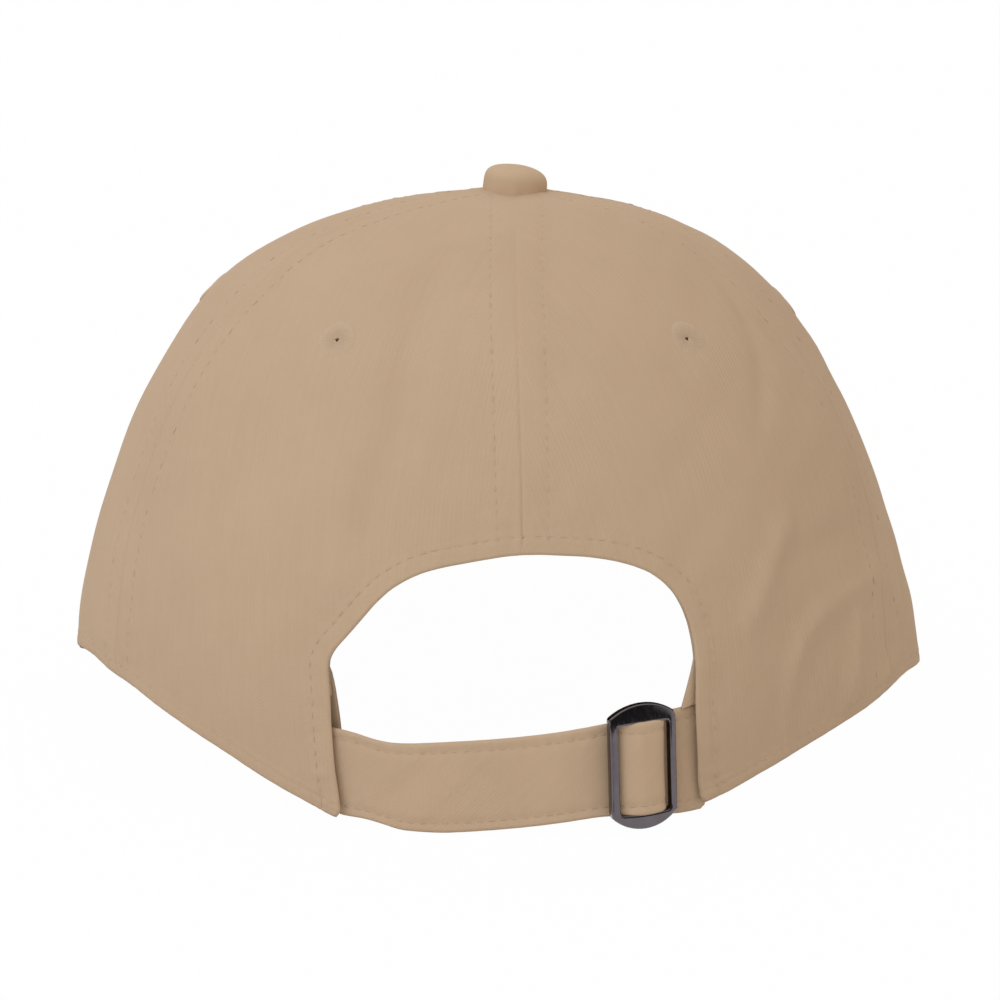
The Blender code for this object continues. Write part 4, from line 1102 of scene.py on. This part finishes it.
def make_visor_seam(lining):
    """Seam allowance of the visor: closes the covers' root and corners and turns up behind the front panels."""
    stations = 151
    angle = visor_root_angles(stations)[:, None]
    share = np.linspace(0.0, 1.0, 12)
    along = lengths_along(crown_point(angle[:, 0], np.zeros(stations)))
    inside = ease((np.minimum(along, along[-1] - along) - 1.0 * MM) / (8.0 * MM))[:, None]
    turned_up = (ALLOWANCE_WIDTH - VISOR_THICKNESS) * inside - 0.3 * MM * (1.0 - inside)
    height = -(VISOR_THICKNESS + 0.15 * MM) * (1.0 - share) + turned_up * share
    rise = rise_at_height(angle, np.maximum(height, 0.0))
    wall = under_crown(angle, rise, CLOTH_THICKNESS + ALLOWANCE_THICKNESS + 0.3 * MM)
    wall[..., 2] += np.minimum(height, 0.0)
    edge, bend = visor_stations(stations)[1], np.linspace(0.0, 1.0, 7)[:-1, None, None]
    ends = []
    for k in (0, -1):
        corner = wall[k].copy()
        corner[:, 0] = edge[k, 0]
        ends.append(corner[None] * (1.0 - bend) + wall[k][None] * bend)
    places = np.concatenate([ends[0], wall, ends[1][::-1]])
    line = lengths_along(places[:, 0])
    flat = flat_grid(share[None] * ALLOWANCE_WIDTH, line[:, None])
    seam = lay_cloth("visor_seam_allowance", places, flat, np.array((0.0, 1.0, 0.0)), ALLOWANCE_THICKNESS, lining)


# Strap and buckle

# Stops along the strap's x in mm, with how far its middle stands above the arc and its half width
STRAP_STOPS = (-46, -44.2, -40, -30, -21, -12, -3, 6, 14.5, 23.5, 28, 32, 36, 39, 46)
STRAP_RISES = (0.3, 0.3, 0.3, 0.6, 0.67, 0.07, -0.48, -0.9, -1.35, -1.45, -0.65, 0.4, 1.0, 1.3, 2.6)
STRAP_HALF_WIDTHS = (12.4, 12.4, 12.5, 11.5, 10.7, 10.6, 10.6, 10.6, 10.6, 10.2, 9.7, 9.8, 10.2, 10.1, 9.1)
# Soft creases: stops along the strap in mm, shares across it there, and their height and width in mm
STRAP_CREASES = (
    ((18.0, 33.0), (-0.5, 0.6), -0.35, 2.2),
    ((40.0, 48.0), (0.7, -0.4), -0.3, 2.0),
    ((24.0, 40.0), (-0.9, 0.3), 0.25, 2.4),
)
# Middle and half width of the runs that stay even
PLAIN_RUN = (1.0 * MM, 10.0 * MM)
WINDOW_RUN = (1.0 * MM, 10.9 * MM)
# Stops of the bight over the centre bar, in mm along the strap from the buckle's middle and above its arc
BIGHT_STOPS = (
    (6.4, 0.6), (5.9, 1.3), (4.8, 2.2), (3.0, 3.1), (0.8, 3.6), (-1.6, 3.6), (-3.8, 3.2), (-5.1, 2.3), (-5.4, 0.6),
)


def on_arc(turn, height, width):
    """World points over the strap's arc: turn towards +X, height over its outer face, place across it."""
    turn, height, width = np.broadcast_arrays(turn, height, width)
    radius = STRAP_OUTER_RADIUS + height
    x, y = radius * np.sin(turn), radius * np.cos(turn)
    across = x * math.cos(STRAP_TILT) + width * math.sin(STRAP_TILT)
    up = width * math.cos(STRAP_TILT) - x * math.sin(STRAP_TILT)
    return np.stack([across, y, up], axis=-1) + np.array(STRAP_AXIS)


def arc_direction(turn):
    return unit(on_arc(turn, 1.0, 0.0) - on_arc(turn, 0.0, 0.0))


def turn_at(x):
    return math.asin(x / STRAP_OUTER_RADIUS)


def strap_grid(turns, heights, across, run=None):
    """Points of a run of the strap, from turns and heights along it and shares across it.

    The front run follows its stops, and its lower edge rises where it is tucked behind the panels.
    """
    if run:
        return on_arc(turns[:, None], heights, run[0] + run[1] * across[None])
    x = STRAP_OUTER_RADIUS * np.sin(turns)
    middle, half = (
        MM * rounded_between(x / MM, STRAP_STOPS, levels, 2.5)[:, None] for levels in (STRAP_RISES, STRAP_HALF_WIDTHS)
    )
    angle = np.arcsin(x / CROWN_HALF_WIDTH)
    panel_edge = edge_height(angle) + 1.2 * MM - STRAP_AXIS.z + x * math.sin(STRAP_TILT)
    tucked = ease(np.where(x > 0, x - STRAP_TUCKS[0], STRAP_TUCKS[1] - x) / (1.5 * MM))
    lowest = (middle - half)[:, 0]
    lowest = lowest + np.maximum(panel_edge - lowest, 0.0) * tucked
    width = np.maximum(middle + half * across[None], lowest[:, None])
    return on_arc(turns[:, None], heights, width)


def strap_relief(across, along, half_width=STRAP_WIDTH / 2):
    """Edges pressed flat by their stitches, and a slow unevenness between them."""
    gap = half_width * (1.0 - np.abs(across))
    pressed = -0.22 * MM * bell(gap - STRAP_STITCH_INSET, 0.7 * MM)
    turned = -0.45 * MM * np.maximum(1.0 - gap / (0.6 * MM), 0.0) ** 2
    pull = 0.06 * MM * ripple(along, 5.5 * MM)[:, None] * bell(gap - STRAP_STITCH_INSET, 2.4 * MM)[None]
    wave = 0.22 * MM * ripple(along, 31.0 * MM, 2.0)[:, None] * np.cos(across * 1.3)[None]
    creases = np.zeros((len(along), len(across)))
    for (start, end), (low, high), height, width in STRAP_CREASES:
        share = (along[:, None] / MM - start) / (end - start)
        off = (across[None] - low - (high - low) * share) * half_width / MM
        off = off * (end - start) / math.hypot(end - start, half_width / MM)
        creases += height * MM * bell(off, width) * bell(share - 0.5, 0.55)
    return (pressed + turned)[None] + pull + wave + creases


def lay_strap(name, turns, heights, twill, thread, run=None, thickness=STRAP_THICKNESS, body="crown"):
    """A run of the strap with its two rows of edge stitches."""
    across = 2.0 * crowd(33, 0.75) - 1.0
    path = on_arc(turns, heights, 0.0)
    along = lengths_along(path)
    tangent = unit(np.gradient(path, axis=0))
    out = unit(np.cross(tangent, on_arc(turns, heights, 0.01) - path))
    reference = arc_direction(turns[:1])[0]
    out = out if out[0] @ reference > 0 else -out
    places = strap_grid(turns, heights[:, None], across, run)
    places = places + out[:, None] * strap_relief(across, along)[..., None]
    flat = flat_grid(along[:, None], across[None] * STRAP_WIDTH / 2)
    ways = np.broadcast_to(out[:, None], places.shape)
    strap = lay_cloth(name, places, flat, ways, thickness, twill, body=body)
    rows = []
    for side in (-1.0, 1.0):
        share = side * (1.0 - STRAP_STITCH_INSET / (STRAP_WIDTH / 2))
        k = np.interp(share, across, np.arange(33))
        low = int(k)
        line = places[:, low] + (places[:, low + 1] - places[:, low]) * (k - low)
        rows.append((line, out))
    stitches = sew(f"{name}_stitches", rows, thread, body, *STRAP_STITCH)
    return strap, stitches, along[-1]


def make_front_run(twill, thread):
    front_turns = np.linspace(turn_at(STRAP_REACH), turn_at(-STRAP_REACH), 150)
    front, rows, length = lay_strap("strap_front", front_turns, np.zeros(150), twill, thread)
    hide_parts("strap_front_run")


def return_path():
    """Turns and heights of the strap doubled back inside, from the buckle to its fold over the keeper bar."""
    low = -2.0 * STRAP_THICKNESS - RETURN_GAP
    fold = turn_at(-STRAP_REACH) - 0.3 * MM / STRAP_OUTER_RADIUS
    radius = -low / 2.0
    bend = np.radians(np.linspace(0.0, 180.0, 16))[1:]
    straight = np.linspace(turn_at(BUCKLE_X + RETURN_OVERLAP), fold, 40)
    turns = np.concatenate([straight, fold - radius * np.sin(bend) / STRAP_OUTER_RADIUS])
    heights = np.concatenate([np.full(40, low), low / 2.0 - radius * np.cos(bend)])
    return turns, heights


def make_return_run(twill, thread):
    """The strap doubled back inside, between the fold and the buckle."""
    run, rows, length = lay_strap("strap_return", *return_path(), twill, thread, PLAIN_RUN, body=None)
    start = on_arc(turn_at(-STRAP_REACH + 1.5 * MM), RETURN_HEIGHT, 0.0)
    end = on_arc(turn_at(BUCKLE_X), RETURN_HEIGHT, 0.0)
    for piece in (run, rows):
        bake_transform(piece)
    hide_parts("strap_return_run")


def make_bight(twill, thread):
    """Part of the strap that bulges out of the buckle's window over the centre bar, steep on its far side."""
    path = soft_line(BIGHT_STOPS, 60, 10)
    turns = turn_at(BUCKLE_X) + path[:, 0] * MM / STRAP_OUTER_RADIUS
    heights = path[:, 1] * MM
    bight, rows, length = lay_strap("strap_window", turns, heights, twill, thread, WINDOW_RUN, 0.9 * MM, "slider")
    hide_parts("strap_bight", "strap_end_loop")


def arched_outline(half_width, low, high, low_arch, high_arch, count=96):
    """Closed outline with straight sides and two arched ends, its points spread by their bearing."""
    ends = []
    for end, arch, way in ((high, high_arch, 1.0), (low, low_arch, -1.0)):
        radius = (half_width**2 + arch**2) / (2.0 * arch)
        x = way * np.linspace(half_width, -half_width, 60)
        ends.append(np.stack([x, end + way * (arch - radius + np.sqrt(radius**2 - x**2))], axis=1))
    outline = np.concatenate([*ends, ends[0][:1]])
    outline = spread_along(outline, np.linspace(0.0, 1.0, 2000))
    bearing = np.unwrap(np.arctan2(outline[:, 1], outline[:, 0]))
    return read_along(bearing[0] + np.linspace(0.0, math.tau, count, endpoint=False), bearing, outline)


def make_buckle(gunmetal):
    """Cast frame with straight sides and arched ends, bent to the strap's arc, with a round centre bar."""
    window = arched_outline(*BUCKLE_WINDOW) - (BUCKLE_WINDOW_SHIFT, 0.0)
    rings = []
    for name, outline in (("buckle", arched_outline(*BUCKLE_OUTLINE)), ("buckle_window", window)):
        ring = start_piece(name, bpy.ops.mesh.primitive_circle_add, vertices=len(outline), radius=1.0)
        for vertex, (x, y) in zip(ring.data.vertices, outline):
            vertex.co = (x, y, 0.0)
        rings.append(ring)
    buckle = rings[0]
    take_up(buckle)
    rings[1].select_set(True)
    bpy.ops.object.join()
    bpy.ops.object.mode_set(mode="EDIT")
    bpy.ops.mesh.select_all(action="SELECT")
    bpy.ops.mesh.bridge_edge_loops()
    bpy.ops.mesh.select_all(action="SELECT")
    bpy.ops.mesh.extrude_region_move(TRANSFORM_OT_translate={"value": (0.0, 0.0, BUCKLE_DEPTH)})
    bpy.ops.mesh.select_all(action="SELECT")
    bpy.ops.mesh.normals_make_consistent(inside=False)
    bpy.ops.object.mode_set(mode="OBJECT")
    for vertex in buckle.data.vertices:
        if vertex.co.z > BUCKLE_DEPTH / 2:
            vertex.co.z -= BUCKLE_TOP_SLOPE * max(vertex.co.y - BUCKLE_WINDOW_TOP, 0.0)
    bevel(buckle, "cast_rounding", 0.5 * MM, 3, 50.0, harden_normals=True)
    apply_modifiers(buckle)
    bend_to_arc(buckle, BUCKLE_LIFT)
    buckle.data.materials.append(gunmetal)
    settle(buckle, "slider")
    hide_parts("buckle_frame")
    make_centre_bar(gunmetal)


def bend_to_arc(obj, lift):
    """Lays a flat piece, modelled about its middle, on the strap's arc at the buckle."""
    points = np.array([v.co for v in obj.data.vertices])
    turns = turn_at(BUCKLE_X + BUCKLE_MIDDLE[0]) + points[:, 0] / STRAP_OUTER_RADIUS
    placed = on_arc(turns, points[:, 2] + lift, points[:, 1] + BUCKLE_MIDDLE[1])
    obj.data.vertices.foreach_set("co", placed.astype(np.float32).ravel())
    obj.data.update()


def make_centre_bar(gunmetal):
    bar = start_piece(
        "buckle_centre_bar",
        bpy.ops.mesh.primitive_cylinder_add,
        vertices=24,
        radius=CENTRE_BAR_RADIUS,
        depth=CENTRE_BAR_LENGTH,
        rotation=(math.pi / 2.0, 0.0, 0.0),
    )
    bpy.ops.object.transform_apply(location=True, rotation=True, scale=True)
    bevel(bar, "eased_ends", 0.25 * MM, 2)
    apply_modifiers(bar)
    bend_to_arc(bar, BUCKLE_LIFT + BUCKLE_DEPTH / 2)
    bar.data.materials.append(gunmetal)
    settle(bar, "slider")


# Finishes


def feed(tree, shader_node, inputs):
    """Links or sets a node's inputs."""
    for key, value in inputs.items():
        if isinstance(value, bpy.types.NodeSocket):
            tree.links.new(value, shader_node.inputs[key])
        else:
            shader_node.inputs[key].default_value = value


def node(tree, kind, inputs=None, **settings):
    made = tree.nodes.new("ShaderNode" + kind)
    for name, value in settings.items():
        setattr(made, name, value)
    feed(tree, made, inputs or {})
    return made


def multiply(tree, first, second):
    return math_node(tree, "MULTIPLY", first, second)


def noise(tree, place, scale, detail, roughness=0.5):
    inputs = {"Vector": place, "Scale": scale, "Detail": detail, "Roughness": roughness}
    return node(tree, "TexNoise", inputs).outputs[0]


def map_range(tree, value, start, end, low=0.0, high=1.0):
    return node(tree, "MapRange", {0: value, 1: start, 2: end, 3: low, 4: high}).outputs[0]


def bump(tree, height, strength, distance):
    return node(tree, "Bump", {"Height": height, "Strength": strength, "Distance": distance}).outputs[0]


def math_node(tree, operation, first, second=0.0, clamp=False):
    return node(tree, "Math", {0: first, 1: second}, operation=operation, use_clamp=clamp).outputs[0]


def new_group(name, inputs, outputs):
    """Empty shader group with named sockets, and its two end nodes."""
    group = bpy.data.node_groups.new(name, "ShaderNodeTree")
    for label, kind, value in inputs:
        socket = group.interface.new_socket(label, in_out="INPUT", socket_type=kind)
        if value is not None:
            socket.default_value = value
    for label, kind in outputs:
        group.interface.new_socket(label, in_out="OUTPUT", socket_type=kind)
    return group, group.nodes.new("NodeGroupInput"), group.nodes.new("NodeGroupOutput")


def weave_group():
    """Diagonal ridges of twill with the fine threads across them, from a flat place in metres."""
    group, given, out = new_group(
        "twill_weave",
        (
            ("Flat place", "NodeSocketVector", None),
            ("Slant", "NodeSocketFloat", 1.2),
            ("Ridge width", "NodeSocketFloat", 0.0008),
        ),
        (("Ridge", "NodeSocketFloat"), ("Tone", "NodeSocketFloat"), ("Height", "NodeSocketFloat")),
    )
    place = given.outputs["Flat place"]
    turned = node(group, "VectorRotate", {"Vector": place, "Angle": given.outputs["Slant"]}, rotation_type="Z_AXIS")
    split = node(group, "SeparateXYZ", {0: turned.outputs[0]})
    across, steps = (
        math_node(group, "DIVIDE", split.outputs[axis], given.outputs["Ridge width"]) for axis in ("X", "Y")
    )
    wander = multiply(group, noise(group, place, 160.0, 2.0), 3.0)
    phase = math_node(group, "ADD", multiply(group, across, math.tau), wander)
    ridge = multiply(group, math_node(group, "SINE", phase), 0.5)
    shown = map_range(group, noise(group, place, 38.0, 2.0), 0.45, 0.66, 0.1, 1.0)
    ridge = math_node(group, "ADD", multiply(group, ridge, shown), 0.5)
    floats = math_node(group, "SINE", math_node(group, "ADD", multiply(group, steps, 7.5), phase))
    height = math_node(group, "ADD", ridge, multiply(group, floats, 0.22))
    stretched = node(group, "VectorMath", {0: turned.outputs[0], 1: (900.0, 45.0, 1.0)}, operation="MULTIPLY")
    slubs = multiply(group, noise(group, stretched.outputs[0], 1.0, 2.0), 0.35)
    tone = math_node(group, "ADD", noise(group, place, 24.0, 4.0, 0.6), slubs)
    feed(group, out, {"Ridge": ridge, "Tone": math_node(group, "SUBTRACT", tone, 0.175), "Height": height})
    return group


def new_material(name, roughness, metallic=0.0):
    material = bpy.data.materials.new(name)
    material.use_nodes = True
    tree = material.node_tree
    shader = tree.nodes["Principled BSDF"]
    feed(tree, shader, {"Roughness": roughness, "Metallic": metallic})
    return material, tree, shader


def mix_colours(tree, share, first, second):
    mixed = node(tree, "Mix", {0: share}, data_type="RGBA")
    feed(tree, mixed, {6: (*first, 1.0), 7: (*second, 1.0)})
    return mixed.outputs[2]


def twill_material(name, weave, light, dark, slant, ridge_width, ridge_share=0.30, relief_strength=0.35):
    """Brushed cotton twill, its ridges at a slant and a width in metres, on the piece's own flat cloth."""
    material, tree, shader = new_material(name, 0.88)
    flat = node(tree, "UVMap", uv_map="flat_cloth").outputs[0]
    cloth = node(tree, "Group", node_tree=weave)
    feed(tree, cloth, {"Flat place": flat, "Slant": slant, "Ridge width": ridge_width})
    ridge = multiply(tree, cloth.outputs["Ridge"], ridge_share)
    tone = multiply(tree, cloth.outputs["Tone"], 1.0 - ridge_share)
    share = math_node(tree, "ADD", ridge, tone, clamp=True)
    feed(
        tree,
        shader,
        {
            "Sheen Weight": 0.04,
            "Sheen Roughness": 0.6,
            "Specular IOR Level": 0.15,
            "Base Color": mix_colours(tree, share, dark, light),
            "Roughness": map_range(tree, cloth.outputs["Tone"], 0.0, 1.0, 0.80, 0.96),
            "Normal": bump(tree, cloth.outputs["Height"], relief_strength, 0.18 * MM),
        },
    )
    return material


def thread_material():
    """Spun sewing thread, a little glossier than the cloth."""
    material, tree, shader = new_material("sewing_thread", 0.6)
    place = node(tree, "TexCoord").outputs["Object"]
    fibres = noise(tree, place, 2600.0, 2.0)
    share = math_node(tree, "ADD", *(multiply(tree, part, 0.5) for part in (fibres, noise(tree, place, 90.0, 1.0))))
    colour = mix_colours(tree, share, THREAD_DARK, THREAD_LIGHT)
    feed(tree, shader, {"Sheen Weight": 0.1, "Base Color": colour, "Normal": bump(tree, fibres, 0.4, 0.1 * MM)})
    return material


def metal_material(name, dark, light, roughness):
    """Plated metal with faint handling marks."""
    material, tree, shader = new_material(name, roughness, 1.0)
    place = node(tree, "TexCoord").outputs["Object"]
    stretched = node(tree, "VectorMath", {0: place, 1: (2600.0, 2600.0, 260.0)}, operation="MULTIPLY").outputs[0]
    marks = noise(tree, stretched, 1.0, 2.0)
    rough = map_range(tree, marks, 0.3, 0.7, roughness - 0.07, roughness + 0.09)
    colour = mix_colours(tree, noise(tree, place, 320.0, 3.0), dark, light)
    feed(tree, shader, {"Base Color": colour, "Roughness": rough, "Normal": bump(tree, marks, 0.08, 0.05 * MM)})
    return material


def board_material():
    material, tree, shader = new_material("visor_board_sheet", 0.55)
    place = node(tree, "TexCoord").outputs["Object"]
    feed(tree, shader, {"Base Color": mix_colours(tree, noise(tree, place, 500.0, 3.0), BOARD_DARK, BOARD_LIGHT)})
    return material


def finish_kept_nodes(materials):
    """Better finishes on the CAD nodes that stay."""
    for name, material in materials.items():
        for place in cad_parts[name].material_slots:
            place.material = material


# Studio


def make_floor():
    floor = start_piece(
        "studio_floor", bpy.ops.mesh.primitive_plane_add, size=FLOOR_SIZE, location=(0.0, 0.0, -0.5 * MM)
    )
    material, tree, shader = new_material("studio_white", 0.9)
    feed(tree, shader, {"Base Color": FLOOR_COLOUR})
    glow = node(tree, "Emission", {"Color": WHITE, "Strength": 1.0})
    path = node(tree, "LightPath")
    seen = math_node(tree, "MAXIMUM", path.outputs["Is Camera Ray"], path.outputs["Is Glossy Ray"])
    share = multiply(tree, seen, FLOOR_GLOW)
    mixed = node(tree, "MixShader", {0: share, 1: shader.outputs[0], 2: glow.outputs[0]})
    feed(tree, tree.nodes["Material Output"], {"Surface": mixed.outputs[0]})
    floor.data.materials.append(material)


def make_world():
    """Soft pale light, a white backdrop, and a darker room low behind the camera that only gloss shows."""
    world = bpy.data.worlds.new("studio_light")
    world.use_nodes = True
    tree = world.node_tree
    light = tree.nodes["Background"]
    feed(tree, light, {"Color": ROOM_COLOUR, "Strength": ROOM_STRENGTH})
    path = node(tree, "LightPath")
    way = node(tree, "SeparateXYZ", {0: node(tree, "TexCoord").outputs["Generated"]})
    dark = multiply(tree, path.outputs["Is Glossy Ray"], DARK_SHARE)
    for axis, edges in DARK_EDGES.items():
        dark = multiply(tree, dark, map_range(tree, way.outputs[axis], *edges))
    backdrop = node(tree, "Background", {"Strength": math_node(tree, "SUBTRACT", 1.0, dark), "Color": WHITE})
    seen = math_node(tree, "MAXIMUM", path.outputs["Is Camera Ray"], path.outputs["Is Transmission Ray"])
    seen = math_node(tree, "MAXIMUM", seen, path.outputs["Is Glossy Ray"])
    mixed = node(tree, "MixShader", {0: seen, 1: light.outputs[0], 2: backdrop.outputs[0]})
    feed(tree, tree.nodes["World Output"], {"Surface": mixed.outputs[0]})
    bpy.context.scene.world = world


def make_lamp(name, place, size, power, colour):
    data = bpy.data.lights.new(name, "AREA")
    data.shape = "DISK"
    data.size = size
    data.energy = power
    data.color = colour
    lamp = bpy.data.objects.new(name, data)
    lamp.location = place
    lamp.visible_glossy = False
    lamp.rotation_euler = (LAMP_TARGET - Vector(place)).to_track_quat("-Z", "Y").to_euler()
    bpy.context.scene.collection.objects.link(lamp)


def make_camera():
    yaw, tilt, roll = (math.radians(angle) for angle in (CAMERA_YAW_DEG, CAMERA_TILT_DEG, CAMERA_ROLL_DEG))
    toward = Vector((-math.sin(yaw) * math.cos(tilt), math.cos(yaw) * math.cos(tilt), math.sin(tilt)))
    data = bpy.data.cameras.new("studio_camera")
    for key, value in CAMERA_SETTINGS.items():
        setattr(data, key, value)
    camera = bpy.data.objects.new("studio_camera", data)
    turn = (-toward).to_track_quat("-Z", "Y").to_matrix() @ Matrix.Rotation(roll, 3, "Z")
    camera.matrix_world = Matrix.Translation(CAMERA_TARGET + toward * CAMERA_DISTANCE) @ turn.to_4x4()
    bpy.context.scene.collection.objects.link(camera)
    bpy.context.scene.camera = camera


def main():
    make_camera()
    weave = weave_group()
    twill = twill_material("crown_twill", weave, TWILL_LIGHT, TWILL_DARK, 0.12, 0.00095, 0.12, 0.2)
    # The strap and the button share a copy of the crown's twill painted lighter, as painted light over their shade;
    # its slant and ridge width are the strap's own
    strap_light_painted_lighter, strap_dark_painted_lighter = (
        tuple(STRAP_PAINTED_LIGHT_GAIN * part for part in colour) for colour in (TWILL_LIGHT, TWILL_DARK)
    )
    strap_twill = twill_material("strap_twill", weave, strap_light_painted_lighter, strap_dark_painted_lighter, 0.9, 0.0007, 0.12, 0.2)
    lining = twill_material("lining_twill", weave, LINING_LIGHT, LINING_DARK, 0.6, 0.0006)
    thread = thread_material()
    gunmetal = metal_material("gunmetal", GUNMETAL_DARK, GUNMETAL_LIGHT, 0.17)
    rivet = metal_material("rivet_metal", RIVET_DARK, RIVET_LIGHT, 0.35)
    make_panels(twill)
    make_crown_stitches(thread)
    make_eyelets(thread)
    make_button(strap_twill)
    make_seam_tapes(lining, thread)
    make_arch_facing(lining)
    make_sweatband(lining, thread)
    make_visor(twill, thread)
    make_visor_seam(lining)
    make_front_run(strap_twill, thread)
    make_return_run(strap_twill, thread)
    make_bight(strap_twill, thread)
    make_buckle(gunmetal)
    finish_kept_nodes({"visor_board": board_material(), "button_rivet": rivet, "strap_keeper_bar": gunmetal})
    make_floor()
    make_world()
    for lamp in LAMPS:
        make_lamp(*lamp)
    bpy.context.scene.view_settings.view_transform = "Standard"


main()
